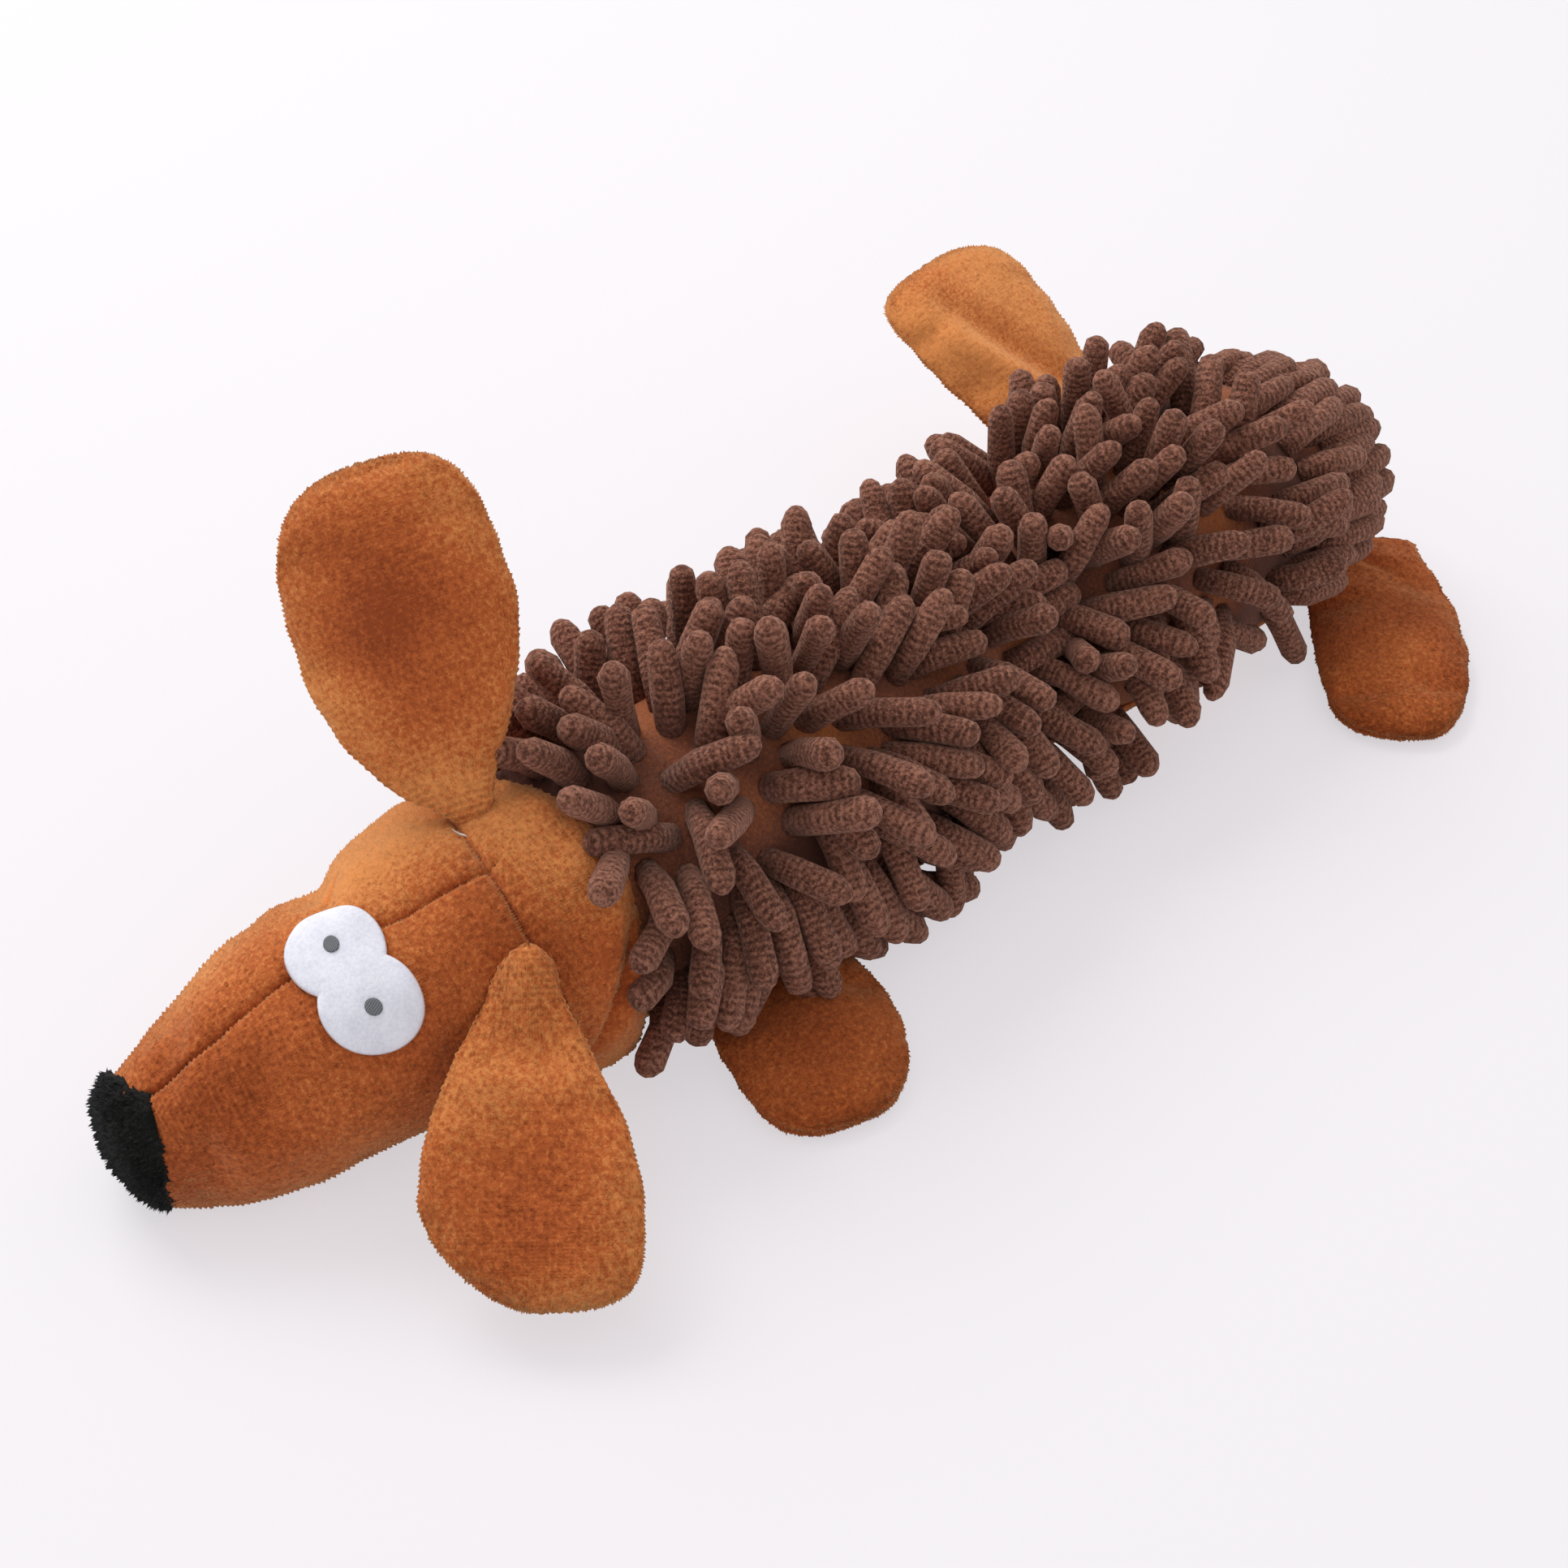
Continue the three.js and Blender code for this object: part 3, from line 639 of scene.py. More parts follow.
@dataclass(frozen=True)
class PlasticFinish(Finish):
    """Soft moulded plastic with a faint haze."""

    deep: tuple = linear(206, 212, 214)
    light: tuple = linear(236, 240, 242)
    roughness: float = 0.35

    def build(self, shading: Shading) -> bpy.types.Material:
        """A cloudy colour and a fine moulded skin."""
        place = shading.coordinates()
        haze = shading.grain(place, 6.0, 3.0)
        skin = shading.grain(place, 0.4)
        links = {
            "Base Color": shading.ramp(haze, ((0.35, self.deep), (0.65, self.light))),
            "Normal": shading.bump(skin, 0.05, 0.4),
            "Roughness": self.roughness,
        }
        return shading.surface(links)


PLUSH = PlushFinish("tan_velour", Slot.PLUSH)
NOSE = PlushFinish(
    "black_nose_pile",
    Slot.NOSE,
    deep=linear(16, 15, 14),
    middle=linear(28, 27, 26),
    light=linear(46, 45, 43),
    glow=linear(150, 160, 160),
    sheen=0.15,
    patch=5.0,
    tuft=0.9,
)
NOODLE = NoodleFinish("brown_chenille", Slot.MOP)
BACKING = FibreFinish(
    "brown_knit",
    Slot.MOP,
    stops=((0.38, linear(92, 54, 42)), (0.52, linear(128, 74, 52)), (0.66, linear(170, 98, 54))),
    broad=(26.0, 0.0, 0.65),
    fine=(0.7, 2.0, 0.35),
    relief=(0.3, 0.6),
)
FELT = FibreFinish(
    "white_felt",
    Slot.FELT,
    stops=((0.3, linear(222, 222, 236)), (0.6, linear(244, 244, 254))),
    broad=(4.0, 2.0, 0.4),
    fine=(0.7, 4.0, 0.6),
    relief=(0.25, 0.5),
)
THREAD = ThreadFinish("grey_thread", Slot.THREAD)
STITCH = ThreadFinish(
    "white_thread", Slot.THREAD, deep=linear(214, 210, 206), light=linear(246, 244, 240)
)
PLASTIC = PlasticFinish("moulded_plastic", Slot.PLASTIC)
REED = PlasticFinish("reed_film", Slot.REED, roughness=0.2)


# Body


@dataclass(frozen=True)
class Crease:
    """A fold along a line on a flattened skin: a dip, or a ridge if its depth is under nought."""

    start: tuple[float, float]
    end: tuple[float, float]
    width: float
    depth: float

    def at(self, along: Points, across: Points) -> Points:
        """How far the fold pushes each point down."""
        first, last = np.array(self.start), np.array(self.end)
        line = last - first
        spots = np.stack([along, across], 1) - first
        way = np.clip(spots @ line / (line @ line), 0.0, 1.0)
        gap = np.linalg.norm(spots - way[:, None] * line, axis=1)
        return self.depth * valley(gap, self.width) * np.sin(math.pi * (0.15 + 0.7 * way))


def round_axis(
    centre: Points, aim: Points, angle: Points, radius: Points, out: Points | float
) -> Points:
    """Points round an axis, pressed flat by the floor.

    Args:
        centre: Points of the axis.
        aim: The axis's directions.
        angle: Turns from the upper side towards the left side.
        radius: Distances from the axis.
        out: How far the points stand out of the cloth.

    Returns:
        The points.
    """
    side = unit(np.cross(aim, UP))
    rise = np.cross(side, aim)
    around = side * np.sin(angle)[:, None] + rise * np.cos(angle)[:, None]
    point = centre + radius[:, None] * around
    point[:, 2] = np.maximum(point[:, 2], np.maximum(-np.asarray(out, float), LOWEST))
    return point


@dataclass(frozen=True)
class BodyHalf:
    """One half of the stuffed body, from one pivot over its middle to the next."""

    start: Points
    middle: Points
    end: Points
    first_aim: Points
    last_aim: Points
    radius: float
    swell: ShareTable
    aim_share: float = 0.3

    def line(self, place: Points) -> tuple[Points, Points]:
        """The half's axis.

        Args:
            place: Ways along it from nought to one.

        Returns:
            The points of the axis and the directions of the sections there.
        """
        way = np.clip(place, 0.0, 1.0)
        later = way > 0.5
        t = (2.0 * way - later)[:, None]
        before, after = self.middle - self.start, self.end - self.middle
        bend = (before + after) / 2.0
        pick = later[:, None]
        near = np.where(pick, self.middle, self.start)
        far = np.where(pick, self.end, self.middle)
        leave = np.where(pick, bend, before)
        arrive = np.where(pick, after, bend)
        ends = (near, leave, far, arrive)
        slopes = (6 * (t**2 - t), 3 * t**2 - 4 * t + 1, 6 * (t - t**2), 3 * t**2 - 2 * t)
        centre = sum(weight * end for weight, end in zip(hermite(t), ends))
        aim = unit(sum(weight * end for weight, end in zip(slopes, ends)))
        first = np.clip(way / self.aim_share, 0.0, 1.0)[:, None]
        last = np.clip((1.0 - way) / self.aim_share, 0.0, 1.0)[:, None]
        aim = self.first_aim + (aim - self.first_aim) * first
        aim = self.last_aim + (aim - self.last_aim) * last
        return centre, unit(aim)

    def skin(self, place: Points, angle: Points, out: Points | float) -> Points:
        """Points of the skin, pressed flat by the floor.

        Args:
            place: Ways along the half.
            angle: Turns from the back towards the left side.
            out: How far the points stand out of the cloth.

        Returns:
            The points.
        """
        centre, aim = self.line(place)
        radius = np.maximum(self.radius * self.swell.at(place) + out, 0.0)
        return round_axis(centre, aim, angle, radius, out)

    def outward(self, place: Points, angle: Points) -> Points:
        """Directions square out of the skin."""
        small = 0.01
        along = self.skin(place + small, angle, 0.0) - self.skin(place - small, angle, 0.0)
        around = self.skin(place, angle + small, 0.0) - self.skin(place, angle - small, 0.0)
        return unit(np.cross(around, along))


@dataclass(frozen=True)
class HeadForm:
    """The head: a long swelling cone from the nose to the neck."""

    pivot: Points
    aim: Points
    length: float = 107.0
    radius: float = 32.0
    roll: float = math.radians(20.0)
    chin_half: float = math.radians(42.0)
    crown_seam: float = 86.0
    seam_depth: float = 1.5
    seam_width: float = 0.6
    seam_dip: float = 0.6
    dip_width: float = 3.0
    pucker: float = 0.22
    pucker_width: float = 4.0
    gather_pitch: float = 0.42
    gather_gap: float = 1.9
    gather_width: float = 1.3
    midline_gathers: float = 0.22
    crown_gathers: float = 0.18
    midline: ShareTable = ShareTable(((0, 17), (23, 17), (42, 14.5), (70, 18), (86, 20), (110, 20)))
    creases: tuple[Crease, ...] = (
        Crease((105.0, 32.5), (88.5, 56.5), 1.0, 2.4),
        Crease((106.5, 36.0), (91.0, 59.5), 2.2, -1.1),
        Crease((103.0, 29.5), (87.5, 53.5), 2.0, -0.5),
        Crease((55.0, -2.6), (63.0, -10.0), 0.9, 1.6),
    )
    swell: ShareTable = ShareTable(
        (
            (0, 0.12), (0.012, 0.25), (0.035, 0.34), (0.075, 0.43), (0.13, 0.54), (0.2, 0.64),
            (0.34, 0.79), (0.5, 0.9), (0.66, 0.97), (0.8, 1), (0.92, 0.98), (1, 0.95),
        )
    )

    def radius_at(self, reach: Points) -> Points:
        """The plain outer radius at a reach from the tip of the nose."""
        return self.radius * self.swell.at(np.asarray(reach, float) / self.length)

    def skin(self, reach: Points, angle: Points, out: Points | float) -> Points:
        """Points of the head's skin, pressed flat by the floor.

        Args:
            reach: Distances from the tip of the nose.
            angle: Turns from the upper side towards the left side.
            out: How far the points stand out of the cloth.

        Returns:
            The points.
        """
        centre = self.pivot + self.aim * (reach - self.length)[:, None]
        return round_axis(centre, self.aim, angle, self.radius_at(reach) + out, out)

    def swelling(self, reach: Points, angle: Points) -> Points:
        """The stuffed cloth's broad unevenness."""
        plain = self.skin(reach, angle, 0.0)
        return 0.9 + 0.75 * wave_noise(plain, 17.0, 1.0) + 0.3 * wave_noise(plain, 7.0, 2.0)

    def gathers(self, along: Points, gap: Points, pucker: Points) -> Points:
        """Small gathers along a seam, a little beside it."""
        ripples = np.sin(along / self.gather_pitch + 2.0 * pucker)
        return ripples * valley(np.abs(gap) - self.gather_gap, self.gather_width)

    def relief(self, reach: Points, angle: Points) -> Points:
        """How far the stuffed cloth stands out, with its seams drawn in.

        Args:
            reach: Distances from the tip of the nose.
            angle: Turns from the upper side towards the left side.

        Returns:
            Distances out of the plain form.
        """
        plain = self.skin(reach, angle, 0.0)
        radius = self.radius_at(reach)
        midline = turned(angle - np.radians(self.midline.at(reach))) * radius
        ahead = 1.0 / (1.0 + np.exp((reach - self.crown_seam) / 1.5))
        cross_seam = reach - self.crown_seam
        chin = (np.abs(turned(angle - self.roll)) - (math.pi - self.chin_half)) * radius
        pucker = wave_noise(plain, 2.6, 3.0)
        relief = self.swelling(reach, angle)
        for distance, strength in ((midline, ahead), (cross_seam, 1.0), (chin, 0.8)):
            stitched = self.seam_depth * valley(distance, self.seam_width)
            dip = self.seam_dip * valley(distance, self.dip_width)
            relief = relief - strength * (stitched + dip)
            relief = relief + strength * self.pucker * pucker * valley(distance, self.pucker_width)
        muzzle = self.gathers(reach, midline, pucker) * smooth(reach, 14.0, 24.0)
        crown = self.gathers(midline, cross_seam, pucker)
        relief = relief + self.midline_gathers * ahead * muzzle + self.crown_gathers * crown
        across = turned(angle) * radius
        for crease in self.creases:
            relief = relief - crease.at(reach, across)
        return relief


@dataclass(frozen=True)
class ToyForm:
    """The toy's main axis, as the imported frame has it."""

    neck: Points = field(default_factory=lambda: vector(-7.5, -51.0, 31.5))
    chest_middle: Points = field(default_factory=lambda: vector(-2.5, 5.0, 29.0))
    waist: Points = field(default_factory=lambda: vector(0.0, 61.0, 27.5))
    hips_middle: Points = field(default_factory=lambda: vector(10.0 / 3.0, 121.0, 29.0))
    rump: Points = field(default_factory=lambda: vector(10.0, 181.0, 27.5))
    head_yaw: float = math.radians(15.3)
    head_rise: float = math.radians(10.5)

    def head(self) -> HeadForm:
        """The head's form."""
        yaw, rise = self.head_yaw, self.head_rise
        aim = vector(math.sin(yaw) * math.cos(rise), math.cos(yaw) * math.cos(rise), math.sin(rise))
        return HeadForm(self.neck, aim)

    def chest(self) -> BodyHalf:
        """The chest's form."""
        swell = ((0, 0.92), (0.08, 0.94), (0.3, 1), (0.55, 1), (0.8, 0.91), (0.95, 0.8), (1, 0.78))
        aim = unit(self.hips_middle - self.chest_middle)
        start = self.head().aim
        return BodyHalf(
            self.neck, self.chest_middle, self.waist, start, aim, 31.5, ShareTable(swell)
        )

    def hips(self) -> BodyHalf:
        """The form of the hips and the rump."""
        swell = (
            (0, 0.79), (0.05, 0.81), (0.25, 0.95), (0.5, 1), (0.72, 0.94), (0.87, 0.78),
            (0.95, 0.56), (0.99, 0.3), (1, 0.12),
        )
        first = unit(self.hips_middle - self.chest_middle)
        last = unit(self.rump - self.hips_middle)
        return BodyHalf(
            self.waist, self.hips_middle, self.rump, first, last, 31.0, ShareTable(swell)
        )


FORM = ToyForm()
HEAD = FORM.head()
CHEST = FORM.chest()
HIPS = FORM.hips()
BELLY_HALF = math.radians(57.0)
MOP_SPAN = math.pi - BELLY_HALF
COLLAR = 0.12


def collar_end() -> tuple[float, ...]:
    """Where the neck's turning ends in the chest, in metres."""
    return tuple(CHEST.line(np.array([0.1]))[0][0] * MM)


@dataclass
class Head:
    """The stuffed head with its nose, its eyes and the neck's sleeve."""

    rows: int = 150
    columns: int = 216
    start: float = 4.0
    rim: ShareTable = ShareTable(
        (
            (-180, 98), (-120, 96), (-60, 93), (-21, 94), (-7, 98), (8, 101), (30, 103.5),
            (46, 103.5), (64, 101.5), (80, 100), (92, 98), (120, 97), (180, 98),
        )
    )
    shoulder: float = 7.0
    muzzle_hollow: ShareTable = ShareTable(
        (
            (0, 0), (12, 2.2), (25, 3.8), (38, 2.8), (48, 3.4), (58, 6.2), (66, 3.6), (76, 2),
            (92, 1), (107, 0.6), (114, 0.6),
        )
    )
    pile: float = 0.55
    lift: float = 0.5
    rim_drop: float = 5.0
    cheek_depth: float = 4.5
    cheek_angle: float = 118.0
    cheek_reach: float = 58.0
    far_angle: float = -52.0
    sleeve_start: float = -0.08
    sleeve_span: float = 0.24
    sleeve_pile: float = 0.8
    chest_length: float = 112.0
    nose_round: float = 3.5
    nose_lift: float = 1.7
    nose_tuck: float = 2.2
    nose_ragged: float = 0.9
    nose_pile: float = 1.3
    sleeve_grid: tuple[int, int] = (30, 150)
    nose_grid: tuple[int, int] = (26, 96)
    felt_grid: tuple[int, int] = (40, 120)
    pupil_grid: tuple[int, int] = (12, 32)
    thread_grid: tuple[int, int] = (24, 10)
    thread_radius: float = 0.28
    plate_ease: float = 0.7
    plate_edge: int = 14
    nose_edge: ShareTable = ShareTable(
        (
            (-180, 6.5), (-90, 6.5), (-28, 8.5), (3, 10.8), (23, 12.5), (45, 10.5), (99, 6.5),
            (180, 6.5),
        )
    )
    patch_reach: float = 54.3
    patch_angle: float = math.radians(28.0)
    patch_slant: float = 0.06
    lobe_radius: float = 9.3
    lobe_spread: float = 11.4
    felt_lift: float = 0.9
    felt_thickness: float = 1.1
    pupil_radius: float = 1.65
    pupil_spread: float = 13.0
    pupil_sunk: float = 0.4
    pupil_thickness: float = 0.8

    def rim_at(self, angle: Points) -> Points:
        """The reach of the velour's back edge at a turn round the head."""
        return self.rim.at(np.degrees(turned(angle)))

    def skin_out(self, reach: Points, angle: Points) -> Points:
        """How far the velour stands out of the plain head, round over its back edge."""
        back = np.clip((reach - self.rim_at(angle)) / self.shoulder, 0.0, 1.0)
        cheek = self.cheek_depth * smooth(angle_gap(angle, self.cheek_angle), 55.0, 12.0)
        hollow = cheek * valley(reach - self.cheek_reach, 26.0)
        far = smooth(angle_gap(angle, self.far_angle), 64.0, 18.0)
        hollow = hollow + self.muzzle_hollow.at(reach) * far
        return self.lift * (1 - back) - self.rim_drop * back**2 - hollow

    def reach_at(self, along: Points, angle: Points) -> Points:
        """The reach at a way along the velour, whose back edge isn't straight."""
        return self.start + (self.rim_at(angle) + self.shoulder - self.start) * along

    def crowded(self, along: Points, around: Points) -> tuple[Points, Points]:
        """Ways along and round the head that crowd together beside the seams."""
        seam = 0.78
        part = FULL_TURN * (along - seam)
        turn = FULL_TURN * around - HEAD.roll
        ends = np.clip(np.minimum(along, 1 - along) / 0.1, 0.0, 1.0)
        return along - 0.085 * np.sin(part) * ends, around - 0.48 * np.sin(turn) / FULL_TURN

    @functools.cached_property
    def filling(self) -> Surface:
        """How the stuffing swells the velour between its seams."""

        def plain(along: Points, around: Points) -> Points:
            angle = around * FULL_TURN
            reach = self.reach_at(along, angle)
            return HEAD.skin(reach, angle, self.skin_out(reach, angle) - 1.0)

        def held(along: Points, around: Points) -> Points:
            angle = around * FULL_TURN
            reach = self.reach_at(along, angle)
            radius = HEAD.radius_at(reach)
            turn = np.abs(turned(angle - HEAD.roll))
            midline = turn * radius
            chin = np.abs(turn - (math.pi - HEAD.chin_half)) * radius
            nearest = np.minimum(np.minimum(midline, chin), np.abs(reach - HEAD.crown_seam))
            low = plain(along, around)[:, 2] < LOWEST + 0.5
            ends = (along < 0.02) | (along > 0.93)
            return np.where(low | ends, 1.0, np.clip(1.1 - nearest / 4.0, 0.0, 1.0))

        return Stuffing().filled(plain, held)

    def velour(self, reach: Points, angle: Points, height: Points | float | None = None) -> Points:
        """Points of the filled velour, or over it.

        Args:
            reach: Distances from the tip of the nose.
            angle: Turns round the head.
            height: How far the points stand over the velour, which spans its seams then.

        Returns:
            The points.
        """
        if height is None:
            stands = HEAD.relief(reach, angle)
        else:
            stands = HEAD.swelling(reach, angle) + height
        out = self.skin_out(reach, angle) + stands
        along = (reach - self.start) / (self.rim_at(angle) + self.shoulder - self.start)
        spots = HEAD.skin(reach, angle, out) + self.filling(along, (angle / FULL_TURN) % 1.0)
        spots[:, 2] = np.maximum(spots[:, 2], LOWEST)
        return spots

    def shade(self, spots: Points) -> Points:
        """Painted light over the crown, the back of the head and under the chin; painted shade on
        the cheek and the muzzle.
        """
        rel = spots - HEAD.pivot
        reach = rel @ HEAD.aim + HEAD.length
        side = unit(np.cross(HEAD.aim, UP))
        angle = np.degrees(np.arctan2(rel @ side, rel @ np.cross(side, HEAD.aim)))
        crown = valley(angle + 28.0, 42.0) * (0.5 + 0.5 * smooth(reach, 40.0, 66.0))
        back = valley(angle - 38.0, 26.0) * smooth(reach, 84.0, 94.0)
        cheek = valley(angle - 68.0, 38.0) * valley(reach - 48.0, 32.0)
        under = smooth(np.abs(angle), 105.0, 140.0)
        muzzle = valley(reach - 14.0, 26.0)
        return 1.3 * crown + 0.2 * back - 0.25 * cheek - 0.6 * muzzle + 0.6 * under

    def build_skin(self) -> None:
        """Sews the velour from under the nose to the neck."""

        def surface(along: Points, around: Points) -> Points:
            along, around = self.crowded(along, around)
            angle = around * FULL_TURN
            return self.velour(self.reach_at(along, angle), angle)

        bm = woven(self.rows, self.columns, surface)
        raise_pile(bm, self.pile, HEAD.aim, 11)
        paint_light_and_shade(bm, self.shade)
        piece = place_piece("head_plush", bm, PLUSH)
        panels = (
            "muzzle_panel_left", "muzzle_panel_right", "crown_panel_left", "crown_panel_right",
        )
        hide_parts("head_stuffing", *panels, "chin_gusset")
        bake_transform(piece)

    def build_neck(self) -> None:
        """Sews the knitted sleeve between the head and the chest."""

        def surface(along: Points, around: Points) -> Points:
            angle = around * FULL_TURN
            place = self.sleeve_start + self.sleeve_span * along
            ahead = HEAD.skin(HEAD.length + place * self.chest_length, angle, -2.4)
            behind = CHEST.skin(place, angle, -0.4)
            part = np.clip(place / 0.06 + 0.5, 0.0, 1.0)[:, None]
            plain = ahead * (1 - part) + behind * part
            return plain + 0.8 * wave_noise(plain, 9.0, 5.0)[:, None] * unit(plain - HEAD.pivot)

        bm = woven(*self.sleeve_grid, surface)
        raise_pile(bm, self.sleeve_pile, HEAD.aim, 12)
        piece = place_piece("neck_ground", bm, BACKING)
        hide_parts("neck_stuffing")
        collar_end()
        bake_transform(piece)

    def build_nose(self) -> None:
        """Covers the tip of the muzzle with longer black pile."""

        def surface(along: Points, around: Points) -> Points:
            angle = around * FULL_TURN
            spots = [Vector((5 * math.cos(a), 5 * math.sin(a), 7.0)) for a in angle]
            ragged = np.array([noise.noise(spot) for spot in spots])
            edge = self.nose_edge.at(np.degrees(turned(angle))) + self.nose_ragged * ragged
            reach = edge * along
            cap = np.sqrt(np.clip(1 - (1 - np.clip(reach / self.nose_round, 0, 1)) ** 2, 0, 1))
            tuck = self.nose_tuck * np.clip((along - 0.9) / 0.1, 0.0, 1.0)
            radius = HEAD.radius_at(reach)
            return HEAD.skin(reach, angle, (radius + self.nose_lift - tuck) * cap - radius)

        bm = woven(*self.nose_grid, surface)
        raise_pile(bm, self.nose_pile, -HEAD.aim * 0.5, 13)
        piece = place_piece("nose_cap", bm, NOSE)
        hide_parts("nose_patch")
        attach(piece, "head")

    def on_face(self, across: Points, along: Points, height: Points) -> Points:
        """Points over the eyes, by distances round the head and along it."""
        radius = float(HEAD.radius_at(self.patch_reach))
        angle = self.patch_angle + across / radius
        reach = self.patch_reach + along + self.patch_slant * across
        return self.velour(reach, angle, height)

    def plate(
        self, reach_at: Callable[[Points], Points], middle: float, low: float, thick: float
    ) -> Surface:
        """A thin plate on the face.

        Args:
            reach_at: The plate's reach from its middle at a turn round it.
            middle: The middle's distance round the head.
            low: The height of its underside.
            thick: Its thickness.

        Returns:
            The surface for a closed skin.
        """

        def surface(along: Points, around: Points) -> Points:
            turn = around * FULL_TURN
            under = along < 0.5
            share = np.where(under, 2 * along, 2 - 2 * along) ** self.plate_ease
            reach = reach_at(turn) * share
            dome = thick * np.sqrt(np.clip(1 - share**self.plate_edge, 0, 1))
            height = np.where(under, low, low + dome)
            return self.on_face(middle + reach * np.cos(turn), reach * np.sin(turn), height)

        return surface

    def build_eyes(self) -> None:
        """Lays the felt patch on the face and a thread pupil on each of its circles."""
        half = self.lobe_spread / 2

        def outline(turn: Points) -> Points:
            lobe = np.sqrt(self.lobe_radius**2 - (half * np.sin(turn)) ** 2)
            return np.abs(np.cos(turn)) * half + lobe

        def disc(turn: Points) -> Points:
            return np.full_like(turn, self.pupil_radius)

        patch = self.plate(outline, 0.0, self.felt_lift, self.felt_thickness)
        bm = woven(*self.felt_grid, patch)
        felt = place_piece("eye_felt", bm, FELT)
        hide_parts("eye_patch")
        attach(felt, "head")
        top = self.felt_thickness + self.felt_lift - self.pupil_sunk
        for side in Side:
            middle = side.value * self.pupil_spread / 2
            bm = woven(*self.pupil_grid, self.plate(disc, middle, top, self.pupil_thickness))
            pupil = place_piece(f"eye_pupil_{side.name.lower()}", bm, THREAD)
            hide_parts(f"pupil_{side.name.lower()}")
            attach(pupil, "head")

    def build_stitch(self) -> None:
        """Leaves the end of the sewing thread where the midline meets the crown seam."""

        def surface(along: Points, around: Points) -> Points:
            turn = around * FULL_TURN
            thick = self.thread_radius * np.sqrt(np.clip(1 - (2 * along - 1) ** 6, 0, 1))
            reach = HEAD.crown_seam - 1.2 + 1.5 * along
            across = 4.2 * along + 0.5 * np.sin(5.0 * along) + thick * np.cos(turn)
            angle = across / HEAD.radius
            return self.velour(reach, angle, 0.3 + thick * np.sin(turn))

        piece = place_piece("crown_thread", woven(*self.thread_grid, surface), STITCH)
        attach(piece, "head")


# Ears and feet


@dataclass(frozen=True)
class Edge:
    """One edge of a flap: how far it stands out along its length, as shares of half its width."""

    root: float
    widest: float
    full: float
    root_power: float
    tip_power: float

    def at(self, place: Points, end: float) -> Points:
        """The share at each place, down to nought at the end."""
        way = np.clip(place / self.widest, 0.0, 1.0)
        rising = self.root + (self.full - self.root) * np.sin(way * math.pi / 2) ** self.root_power
        fall = np.clip((place - self.widest) / (end - self.widest), 0.0, 1.0)
        closing = np.clip(1 - fall**self.tip_power, 0.0, 1.0) ** (1 / self.tip_power)
        return rising * closing


@dataclass(frozen=True)
class Outline:
    """A flap's two edges, which aren't alike."""

    plus: Edge
    minus: Edge
    end: float = 1.02

    def at(self, place: Points, aside: Points) -> Points:
        """The share of the half width on the side that aside's sign says."""
        return np.where(aside > 0, self.plus.at(place, self.end), self.minus.at(place, self.end))


